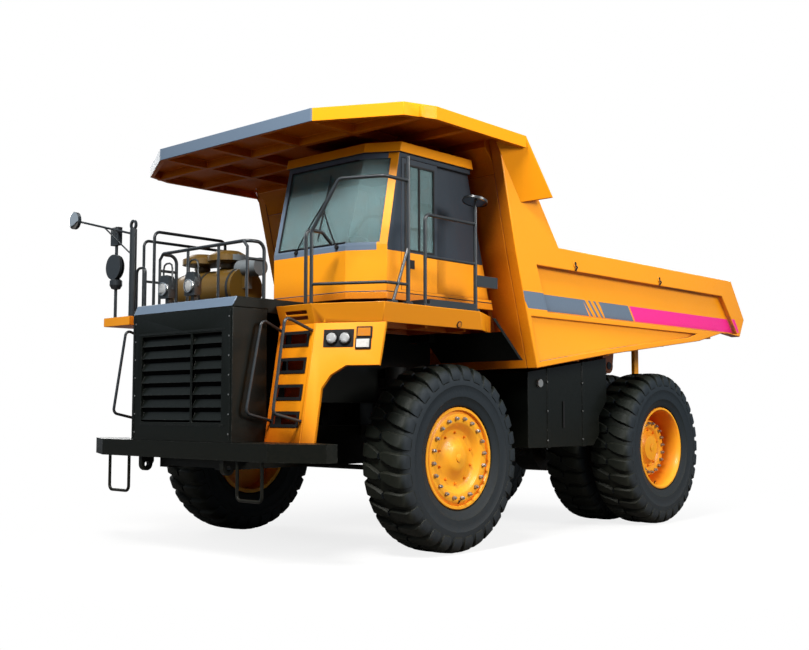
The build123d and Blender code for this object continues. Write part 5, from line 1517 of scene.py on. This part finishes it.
def ring_frame(sketch, corners, width, proud):
    """Flat seal round four corners in a plane, standing proud along a vector."""
    corners = [Vector(corner) for corner in corners]
    proud = Vector(proud)
    centre = sum(corners, Vector()) / len(corners)
    count = len(corners)
    inner = []
    for k, corner in enumerate(corners):
        before = (corners[k - 1] - corner).normalized()
        after = (corners[(k + 1) % count] - corner).normalized()
        inner.append(corner + (before + after) * width)
    if (inner[0] - centre).length > (corners[0] - centre).length:
        inner = [corner * 2 - moved for corner, moved in zip(corners, inner)]
    rings = [corners, [c + proud for c in corners], [c + proud for c in inner], inner]
    rows = [[sketch.mesh.verts.new(point) for point in ring] for ring in rings]
    for a, b in zip(rows, rows[1:] + rows[:1]):
        for k in range(count):
            m = (k + 1) % count
            sketch.face((a[k], a[m], b[m], b[k]))
    return sketch


class TRUCK_OT_cab(TruckOperator, bpy.types.Operator):
    """Window seals, the door's sash bar and handle, wipers and mirror faces"""

    bl_idname = "truck.cab"
    bl_label = "Cab"

    def execute(self, context):
        self.seals()
        self.door()
        self.wipers()
        self.mirrors()
        return {"FINISHED"}

    def screen_point(self, x, z, proud=0.0):
        """Point on the front wall's outer plane, by X and height."""
        run = SCREEN_HEAD[0] - SCREEN_SILL[0]
        height = SCREEN_HEAD[1] - SCREEN_SILL[1]
        share = (z - SCREEN_SILL[1]) / height
        rise = Vector((0, run, height)).normalized()
        outward = Vector((0, -rise.z, rise.y))
        return at(x, SCREEN_SILL[0] + run * share, z) + outward * proud

    def screen_normal(self):
        """Direction that the front wall faces."""
        return self.screen_point(0, 3.6, 1.0) - self.screen_point(0, 3.6)

    def seals(self):
        """Rubber round the windshield, but not at its near end, and round the right window."""
        sketch = Sketch("black_trim")
        corners = [self.screen_point(x, z) for x, z in corner_pairs(WINDSHIELD_X, WINDSHIELD_Z)]
        for a, b in ((0, 1), (3, 2), (0, 3)):
            sketch.tube([corners[a], corners[b]], SEAL_R, 8)
        right = CAB_SIDE_X - CAB_W
        corners = [at(right - 0.002, y, z) for y, z in corner_pairs(RIGHT_WINDOW_Y, RIGHT_WINDOW_Z)]
        ring_frame(sketch, corners, WINDOW_SEAL, (-0.008, 0, 0))
        sketch.piece("cab_seals", "chassis", "cab_trim", 0.0)

    def door(self):
        """Seal, sash bar and handle plate of the sliding door."""
        sketch = Sketch("black_trim")
        face = CAB_SIDE_X
        (y0, y1), (z0, z1) = DOOR_WINDOW_Y, DOOR_WINDOW_Z
        corners = [at(face + 0.0005, y, z) for y, z in corner_pairs(DOOR_WINDOW_Y, DOOR_WINDOW_Z)]
        ring_frame(sketch, corners, WINDOW_SEAL, (0.003, 0, 0))
        bar_y = (y0 + y1) / 2
        sketch.box(at(face - 0.024, bar_y - SASH_HALF_W, z0), at(face - 0.004, bar_y + SASH_HALF_W, z1))
        low = at(face + 0.0005, y0 + HANDLE_Y[0], HANDLE_Z[0])
        high = at(face + 0.004, y0 + HANDLE_Y[1], HANDLE_Z[1])
        sketch.box(low, high)
        sketch.piece("cab_door_trim", "cab_door", "cab_trim", 0.0)

    def wipers(self):
        """Two wiper arms with blades on the windshield."""
        sketch = Sketch("black_trim")
        boss = [(0, 0.026), (0.018, 0.024), (0.024, 0.0)]
        for pivot_x, tip_x, tip_z in WIPERS:
            sketch.lathe(boss, self.screen_point(pivot_x, WIPER_FOOT_Z), self.screen_normal(), 16)
            foot = self.screen_point(pivot_x, WIPER_FOOT_Z, 0.012)
            tip = self.screen_point(tip_x, tip_z, 0.016)
            elbow = foot.lerp(tip, 0.5) + Vector((0, -0.012, 0))
            sketch.tube([foot, elbow, tip], 0.008, 8)
            low = self.screen_point(tip_x - 0.02, tip_z - 0.36, 0.006)
            high = self.screen_point(tip_x + 0.02, tip_z + 0.32, 0.006)
            sketch.tube([low, high], 0.007, 6)
        sketch.piece("wipers", "chassis", "cab_trim", 0.0)

    def mirrors(self):
        """Reflecting faces and rims of the mirrors, and the cap on the far mirror's back."""
        sketch = Sketch("mirror_face")
        tilt = math.radians(BOWL_TILT)
        table = [(*row, (0, 1, 0)) for row in REAR_VIEWS]
        table.append((*BOWL_MIRROR, (0, -math.sin(tilt), -math.cos(tilt))))
        for place, radius, distance, aim in table:
            aim = Vector(aim)
            centre = at(*place) + aim * distance
            sketch.paint("mirror_face")
            sketch.lathe([(0.0, radius), (0.004, radius * 0.7), (0.006, 0.0)], centre, aim, 40)
            sketch.paint("black_trim")
            rim = [(-0.006, radius), (0.004, radius), (0.005, radius + 0.006), (-0.006, radius + 0.008)]
            sketch.lathe(rim, centre, aim, 40)
        cap = [(0.0, 0.108), (0.008, 0.100), (0.018, 0.070), (0.022, 0.0)]
        sketch.paint("chrome")
        sketch.lathe(cap, at(*MAST_CAP), (0, -1, 0), 40)
        sketch.piece("mirror_faces", "chassis", "rail_grey", 0.0)


# Driver's seat: its middle from the front axle, the cab floor's top, and its two pads
SEAT_X = 1.08
SEAT_Y = 0.24
SEAT_FLOOR_Z = 2.95
SEAT_PADS = (
    # name, low corner, high corner, lean in degrees, channels across, fill
    ("seat_cushion", (0.850, 0.000, 3.292), (1.310, 0.460, 3.385), 0.0, (-0.13, 0.13), 0.75),
    ("seat_back", (0.870, -0.045, 3.410), (1.290, 0.050, 3.985), 10.2, (-0.12, 0.12), 0.7),
)
BACK_SHIFT = 0.435
# A pad starts this much smaller, is remeshed and puffed up, and no point of it moves further than the cap
PAD_INSET = 0.014
PAD_ROUND = 0.022
PAD_VOXEL = 0.006
PAD_PRESSURE = 4.0
PAD_STEPS = 20
PAD_CAP = 0.022
CHANNEL_HALF_W = 0.012
CHANNEL_DEPTH = 0.009
PIPING_SHARE = 0.8
# Pedestal's bellows, as height over the floor and half width, and its outline as shares of that
BELLOWS = (
    (0.001, 0.175),
    (0.05, 0.175),
    (0.08, 0.150),
    (0.11, 0.172),
    (0.14, 0.150),
    (0.17, 0.172),
    (0.20, 0.150),
    (0.23, 0.172),
    (0.26, 0.150),
    (0.29, 0.178),
    (0.335, 0.178),
)
CLIPPED_SQUARE = (
    (-1, -0.85),
    (-0.85, -1),
    (0.85, -1),
    (1, -0.85),
    (1, 0.85),
    (0.85, 1),
    (-0.85, 1),
    (-1, 0.85),
)


def padded_mesh(name, low, high):
    """Crowned pad puffed up by the cloth solver from a slightly smaller block."""
    work = bmesh.new()
    bmesh.ops.create_cube(work, size=1.0)
    low, high = Vector(low), Vector(high)
    inset = Vector((PAD_INSET, PAD_INSET, PAD_INSET))
    bmesh.ops.scale(work, vec=high - low - inset * 2, verts=work.verts)
    bmesh.ops.translate(work, vec=(low + high) / 2, verts=work.verts)
    edges = work.edges[:]
    bmesh.ops.bevel(work, geom=edges, offset=PAD_ROUND, segments=3, affect="EDGES", profile=0.5)
    mesh = bpy.data.meshes.new(name)
    work.to_mesh(mesh)
    work.free()
    holder = bpy.data.objects.new(name + "_form", mesh)
    scene = bpy.context.scene
    scene.collection.objects.link(holder)
    remesh = holder.modifiers.new("voxels", "REMESH")
    remesh.mode = "VOXEL"
    remesh.voxel_size = PAD_VOXEL
    depsgraph = bpy.context.evaluated_depsgraph_get()
    holder.data = bpy.data.meshes.new_from_object(holder.evaluated_get(depsgraph))
    holder.modifiers.clear()
    before = [vertex.co.copy() for vertex in holder.data.vertices]
    cloth = holder.modifiers.new("cloth", "CLOTH")
    cloth.settings.quality = 4
    cloth.settings.use_pressure = True
    cloth.settings.uniform_pressure_force = PAD_PRESSURE
    cloth.settings.effector_weights.gravity = 0.0
    cloth.point_cache.frame_start = 1
    cloth.point_cache.frame_end = PAD_STEPS
    for step in range(1, PAD_STEPS + 1):
        scene.frame_set(step)
    depsgraph = bpy.context.evaluated_depsgraph_get()
    puffed = bpy.data.meshes.new_from_object(holder.evaluated_get(depsgraph))
    holder.modifiers.clear()
    for vertex, start in zip(puffed.vertices, before):
        move = vertex.co - start
        if move.length > PAD_CAP:
            move = move.normalized() * PAD_CAP
        spot = start + move
        vertex.co = [min(max(value, least), most) for value, least, most in zip(spot, low, high)]
    scene.frame_set(1)
    bpy.data.objects.remove(holder)
    return puffed


def press_channels(mesh, low, high, channels, upright):
    """Sewn channels along the pad, and a shallower one across its middle."""
    middle_point = (Vector(low) + Vector(high)) / 2
    for vertex in mesh.vertices:
        place = vertex.co
        depth = 0.0
        for offset in channels:
            away = (place.x - middle_point.x - offset) / CHANNEL_HALF_W
            depth = max(depth, math.exp(-away * away))
        across = (place.z - middle_point.z) if upright else (place.y - middle_point.y)
        away = across / CHANNEL_HALF_W
        depth = max(depth, PIPING_SHARE * math.exp(-away * away))
        if upright:
            front = (middle_point.y - place.y) / (high[1] - low[1]) * 2
            vertex.co.y += CHANNEL_DEPTH * depth * max(0.0, front)
        else:
            top = (place.z - middle_point.z) / (high[2] - low[2]) * 2
            vertex.co.z -= CHANNEL_DEPTH * depth * max(0.0, top)


class TRUCK_OT_seat(TruckOperator, bpy.types.Operator):
    """Driver's seat with puffed cushions on a bellows pedestal"""

    bl_idname = "truck.seat"
    bl_label = "Seat"

    def execute(self, context):
        for name, low, high, lean, channels, fill in SEAT_PADS:
            low, high = at(*low), at(*high)
            mesh = padded_mesh(name, low, high)
            upright = lean > 0
            press_channels(mesh, low, high, channels, upright)
            if upright:
                foot = Vector((0, (low.y + high.y) / 2, low.z))
                turn = Matrix.Rotation(math.radians(-lean), 4, "X")
                push = Matrix.Translation(foot + Vector((0, BACK_SHIFT, 0)))
                mesh.transform(push @ turn @ Matrix.Translation(-foot))
            mesh.materials.clear()
            mesh.materials.append(MATERIALS["seat_cloth"])
            pad = dress(name, mesh, "chassis", 0.0, 60, ("seat",))
            smoothing = pad.modifiers.new("smooth", "SUBSURF")
            smoothing.levels = smoothing.render_levels = 1
        self.frame()
        return {"FINISHED"}

    def frame(self):
        """Bellows, and the bracket under the backrest."""
        sketch = Sketch("black_trim")
        rings = []
        for z, reach in BELLOWS:
            ring = [at(SEAT_X + i * reach, SEAT_Y + j * reach, SEAT_FLOOR_Z + z) for i, j in CLIPPED_SQUARE]
            rings.append(ring)
        sketch.loft(rings)
        sketch.box(at(SEAT_X - 0.21, 0.42, 3.36), at(SEAT_X + 0.21, 0.49, 3.42))
        sketch.piece("seat_base", "chassis", SLOT_OF["seat"], 0.004, 35, ("seat",))


# Pockets of the stair panel: their sills, height and width, and the ribs on each tread
STEP_ZS = (1.45, 1.74, 2.03, 2.32)
STEP_H = 0.170
STEP_X = (1.00, 1.44)
STEP_LIP = 0.034
RIB_SIZE = (0.40, 0.014, 0.006)
RIB_COUNT = 4
RIB_PITCH = 0.034
# Feet of the rails on the deck: places, top of the deck, plate and its bolts
RAIL_FEET = ((2.22, -1.26), (2.22, -1.02), (2.22, -0.74), (2.22, 0.15))
FOOT_Z = 2.7803
FOOT_SIZE = (0.078, 0.1, 0.012)
FOOT_BOLTS = ((0.012, 0.014), (0.012, 0.086), (0.062, 0.014), (0.062, 0.086))
# Air cleaners: the drum's axis as Y and Z, X of its bands and of the stacks, and the stacks' bands
# as height and radius
DRUM_AXIS = (-1.20, 3.1203)
DRUM_BAND_XS = (-1.46, -0.91, -0.36)
DRUM_BAND_R = (0.2605, 0.266)
STACK_XS = (-1.17, -0.65)
STACK_BANDS = ((3.27, 0.2005), (3.43, 0.0955))


def add_band(sketch, centre, axis, half_w, radii, segments):
    """Flat band round an axis."""
    inner, outer = radii
    outline = [(-half_w, inner), (-half_w, outer), (half_w, outer), (half_w, inner)]
    sketch.lathe(outline, centre, axis, segments)


class TRUCK_OT_deck(TruckOperator, bpy.types.Operator):
    """Step frames, feet of the rails and the air cleaners' bands"""

    bl_idname = "truck.deck"
    bl_label = "Deck"

    def execute(self, context):
        self.steps()
        self.feet()
        self.cleaners()
        return {"FINISHED"}

    def steps(self):
        """Dark frames and ribbed treads of the stair panel's pockets."""
        slope = math.tan(math.radians(PANEL_RAKE))
        for name, side in SIDES.items():
            sketch = Sketch("black_trim")
            for z in STEP_ZS:
                corners = []
                for x, height in corner_pairs(STEP_X, (z, z + STEP_H)):
                    y = PANEL_FOOT[1] + (height - PANEL_FOOT[2]) * slope
                    corners.append(at(side * x, y - 0.0005, height))
                ring_frame(sketch, corners, -STEP_LIP, (0, -0.008, 0.0013))
                front = PANEL_FOOT[1] + (z - PANEL_FOOT[2]) * slope
                left = side * sum(STEP_X) / 2 - RIB_SIZE[0] / 2
                for k in range(RIB_COUNT):
                    low = at(left, front + 0.02 + k * RIB_PITCH, z + 0.0003)
                    sketch.box(low, low + Vector(RIB_SIZE))
            sketch.piece(f"step_frames_{name}", "chassis", "frame_dark", 0.0)

    def feet(self):
        """Foot plates of the left rails with their bolts."""
        sketch = Sketch("rail_paint")
        for x, y in RAIL_FEET:
            low = at(x - 0.05, y - 0.05, FOOT_Z)
            sketch.paint("rail_paint")
            sketch.box(low, low + Vector(FOOT_SIZE))
            sketch.paint("steel")
            for across, along in FOOT_BOLTS:
                sketch.nut(low + Vector((across, along, FOOT_SIZE[2])), (0, 0, 1), 0.009, 0.007)
        sketch.piece("rail_feet", "chassis", "rail_grey", 0.0)

    def cleaners(self):
        """Bands round the air cleaners' drum and stacks."""
        sketch = Sketch("rail_paint")
        for x in DRUM_BAND_XS:
            add_band(sketch, at(x, *DRUM_AXIS), (1, 0, 0), 0.02, DRUM_BAND_R, 48)
        sketch.paint("cleaner_paint")
        for x in STACK_XS:
            for height, radius in STACK_BANDS:
                place = at(x, DRUM_AXIS[0], height)
                add_band(sketch, place, (0, 0, 1), 0.012, (radius, radius + 0.007), 40)
        sketch.piece("cleaner_bands", "chassis", "cleaner_tan", 0.0)


# Lifting eyes on the body's side rail, from the front axle
BODY_EYES_Y = (2.21, 4.42)
BODY_EYES_Z = 3.54
# Tanks: outer face, filler cap, places of the strap bolts, and the sight gauge
TANK_X = 1.90
TANK_CAP = (1.86, 1.98)
TANK_CAP_OUTLINE = ((0, 0.055), (0.03, 0.055), (0.036, 0.05), (0.036, 0.0))
STRAP_YS = (2.04, 2.87)
STRAP_ZS = (1.24, 1.62, 2.0)
GAUGE_Y = (2.40, 2.43)
GAUGE_Z = (1.40, 1.75)
GAUGE_T = 0.012


class TRUCK_OT_sides(TruckOperator, bpy.types.Operator):
    """Lifting eyes of the body's sides, and the tanks' caps and gauges"""

    bl_idname = "truck.sides"
    bl_label = "Sides"

    def execute(self, context):
        for name, side in SIDES.items():
            self.body(name, side)
            self.tank(name, side)
        return {"FINISHED"}

    def body(self, name, side):
        """Lifting eyes on the rail, each with its doubling plate."""
        sketch = Sketch("black_trim")
        face = max(abs(corner.x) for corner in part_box(f"body_side_{name}"))
        for y in BODY_EYES_Y:
            centre = at(side * face, y, BODY_EYES_Z)
            sketch.paint("body_paint")
            sketch.lathe([(0.0, 0.052), (0.006, 0.050), (0.007, 0.024)], centre, (side, 0, 0), 20)
            sketch.paint("black_trim")
            sketch.lathe([(0.0075, 0.026), (0.002, 0.022), (0.002, 0.0)], centre, (side, 0, 0), 20)
            foot = centre + Vector((side * 0.004, 0, -0.02))
            loop = [foot + Vector((side * x, 0, z)) for x, z in ((0, 0), (0.03, -0.03), (0.004, -0.075))]
            sketch.tube(loop, 0.011, 8)
        sketch.piece(f"body_marks_{name}", "dump_body", "body_yellow", 0.0)

    def tank(self, name, side):
        """Filler cap, sight gauge and strap bolts of a tank."""
        tank = "fuel_tank" if side > 0 else "hydraulic_tank"
        out = (side, 0, 0)
        sketch = Sketch("steel")
        sketch.lathe(list(TANK_CAP_OUTLINE), at(side * TANK_X, *TANK_CAP), out, 24)
        for y in STRAP_YS:
            for z in STRAP_ZS:
                sketch.nut(at(side * (TANK_X + 0.0082), y, z), out, 0.012, 0.01)
        sketch.paint("black_trim")
        xs = sorted((side * TANK_X, side * (TANK_X + GAUGE_T)))
        sketch.box(at(xs[0], GAUGE_Y[0], GAUGE_Z[0]), at(xs[1], GAUGE_Y[1], GAUGE_Z[1]))
        sketch.piece(f"tank_fittings_{name}", "chassis", SLOT_OF[tank], 0.0)


# Studio: half the floor's side, where its shadow fades out, the lights' aim, and the world's levels
FLOOR_HALF = 90.0
SHADOW_FADE = (2.5, 7.0)
LIGHT_AIM = (0, 0, 1.8)
WORLD_LEVEL = 0.09
WORLD_GLOSS = 0.45


class TRUCK_OT_stage(TruckOperator, bpy.types.Operator):
    """Floor, lights, world and the photograph's camera"""

    bl_idname = "truck.stage"
    bl_label = "Stage"

    def execute(self, context):
        scene = context.scene
        scene.view_settings.view_transform = "Standard"
        self.floor(scene)
        self.lights(scene)
        self.world(scene)
        self.camera(scene)
        return {"FINISHED"}

    def floor(self, scene):
        """White floor that keeps the truck's shadow, and gives off little light of its own."""
        material = bpy.data.materials.new("pale_floor")
        material.use_nodes = True
        tree = material.node_tree
        tree.nodes.clear()
        seen = node(tree, "ShaderNodeLightPath").outputs["Is Camera Ray"]
        tone = blend_colours(tree, seen, (0.2, 0.19, 0.18, 1), (0.9, 0.9, 0.9, 1))
        matte = node(tree, "ShaderNodeBsdfDiffuse", {"Color": tone})
        glow = node(tree, "ShaderNodeEmission", {"Color": (1, 1, 1, 1), "Strength": 1.0})
        place = object_place(tree)
        reach = node(tree, "ShaderNodeVectorMath", {0: place}, operation="LENGTH").outputs["Value"]
        share = times(tree, seen, remap(tree, reach, *SHADOW_FADE, 0.82, 1.0))
        mix = node(tree, "ShaderNodeMixShader", {0: share, 1: matte.outputs[0], 2: glow.outputs[0]})
        out = node(tree, "ShaderNodeOutputMaterial")
        tree.links.new(mix.outputs[0], out.inputs["Surface"])
        mesh = bpy.data.meshes.new("floor")
        ends = (-FLOOR_HALF, FLOOR_HALF)
        corners = [(x, y, 0) for x, y in corner_pairs(ends, ends)]
        mesh.from_pydata(corners, [], [(0, 1, 2, 3)])
        mesh.materials.append(material)
        floor = bpy.data.objects.new("floor", mesh)
        scene.collection.objects.link(floor)

    def lights(self, scene):
        """Soft studio panels, the strongest high on the camera's side."""
        table = (
            # name, place, size, watts, colour
            ("key_panel", (14.0, 1.0, 8.0), 5.0, 1550, (1.0, 0.97, 0.92)),
            ("front_panel", (5.0, -10.5, 12.0), 4.0, 2600, (1.0, 0.98, 0.95)),
            ("top_panel", (1.0, 1.0, 15.0), 8.0, 400, (1.0, 1.0, 1.0)),
            ("rear_panel", (-5.0, 15.0, 8.0), 7.0, 1000, (0.9, 0.95, 1.0)),
            ("right_panel", (-14.0, 1.0, 7.0), 9.0, 1000, (1.0, 0.98, 0.95)),
        )
        for name, place, size, watts, colour in table:
            data = bpy.data.lights.new(name, "AREA")
            data.shape = "DISK"
            data.size = size
            data.energy = watts
            data.color = colour
            light = bpy.data.objects.new(name, data)
            light.location = place
            aim = Vector(LIGHT_AIM) - Vector(place)
            light.rotation_euler = aim.to_track_quat("-Z", "Y").to_euler()
            scene.collection.objects.link(light)

    def world(self, scene):
        """White for the camera, less for reflections and least for light."""
        world = bpy.data.worlds.new("studio")
        scene.world = world
        world.use_nodes = True
        tree = world.node_tree
        back = tree.nodes["Background"]
        path = node(tree, "ShaderNodeLightPath").outputs
        seen = math_node(tree, "MAXIMUM", path["Is Camera Ray"], path["Is Transmission Ray"])
        glossy = times(tree, path["Is Glossy Ray"], WORLD_GLOSS)
        level = remap(tree, math_node(tree, "MAXIMUM", seen, glossy), 0.0, 1.0, WORLD_LEVEL, 1.0)
        tree.links.new(level, back.inputs["Strength"])
        tint = blend_colours(tree, seen, (0.75, 0.88, 1.0, 1), (1, 1, 1, 1))
        tree.links.new(tint, back.inputs["Color"])

    def camera(self, scene):
        """Camera at the photograph's place."""
        data = bpy.data.cameras.new("photo_camera")
        data.sensor_width = 36.0
        data.lens = CAMERA_LENS
        data.clip_end = 300.0
        camera = bpy.data.objects.new("photo_camera", data)
        azimuth = math.radians(CAMERA_AZIMUTH)
        pitch = math.radians(CAMERA_PITCH)
        ahead = Vector(
            (-math.sin(azimuth) * math.cos(pitch), math.cos(azimuth) * math.cos(pitch), math.sin(pitch))
        )
        camera.location = CAMERA_PLACE
        camera.rotation_euler = ahead.to_track_quat("-Z", "Y").to_euler()
        scene.collection.objects.link(camera)
        scene.camera = camera


class TRUCK_PT_panel(bpy.types.Panel):
    """Lists the truck's operators, colours and sizes"""

    bl_idname = "TRUCK_PT_panel"
    bl_label = "Mining dump truck"
    bl_space_type = "VIEW_3D"
    bl_region_type = "UI"
    bl_category = "Truck"

    def draw(self, context):
        for operator in OPERATORS:
            self.layout.operator(operator.bl_idname)
        for group in (context.scene.truck_colours, context.scene.truck_sizes):
            for name in group.__annotations__:
                self.layout.prop(group, name)


OPERATORS = (
    TRUCK_OT_finishes,
    TRUCK_OT_tyres,
    TRUCK_OT_wheels,
    TRUCK_OT_front,
    TRUCK_OT_lamps,
    TRUCK_OT_cab,
    TRUCK_OT_seat,
    TRUCK_OT_deck,
    TRUCK_OT_sides,
    TRUCK_OT_stage,
)
CLASSES = (TruckColours, TruckSizes, *OPERATORS, TRUCK_PT_panel)


def register():
    for made in CLASSES:
        bpy.utils.register_class(made)
    bpy.types.Scene.truck_colours = PointerProperty(type=TruckColours)
    bpy.types.Scene.truck_sizes = PointerProperty(type=TruckSizes)


def unregister():
    del bpy.types.Scene.truck_sizes
    del bpy.types.Scene.truck_colours
    for made in reversed(CLASSES):
        bpy.utils.unregister_class(made)


def main():
    register()
    for operator in OPERATORS:
        group, name = operator.bl_idname.split(".")
        getattr(getattr(bpy.ops, group), name)()


if __name__ == "__main__":
    main()
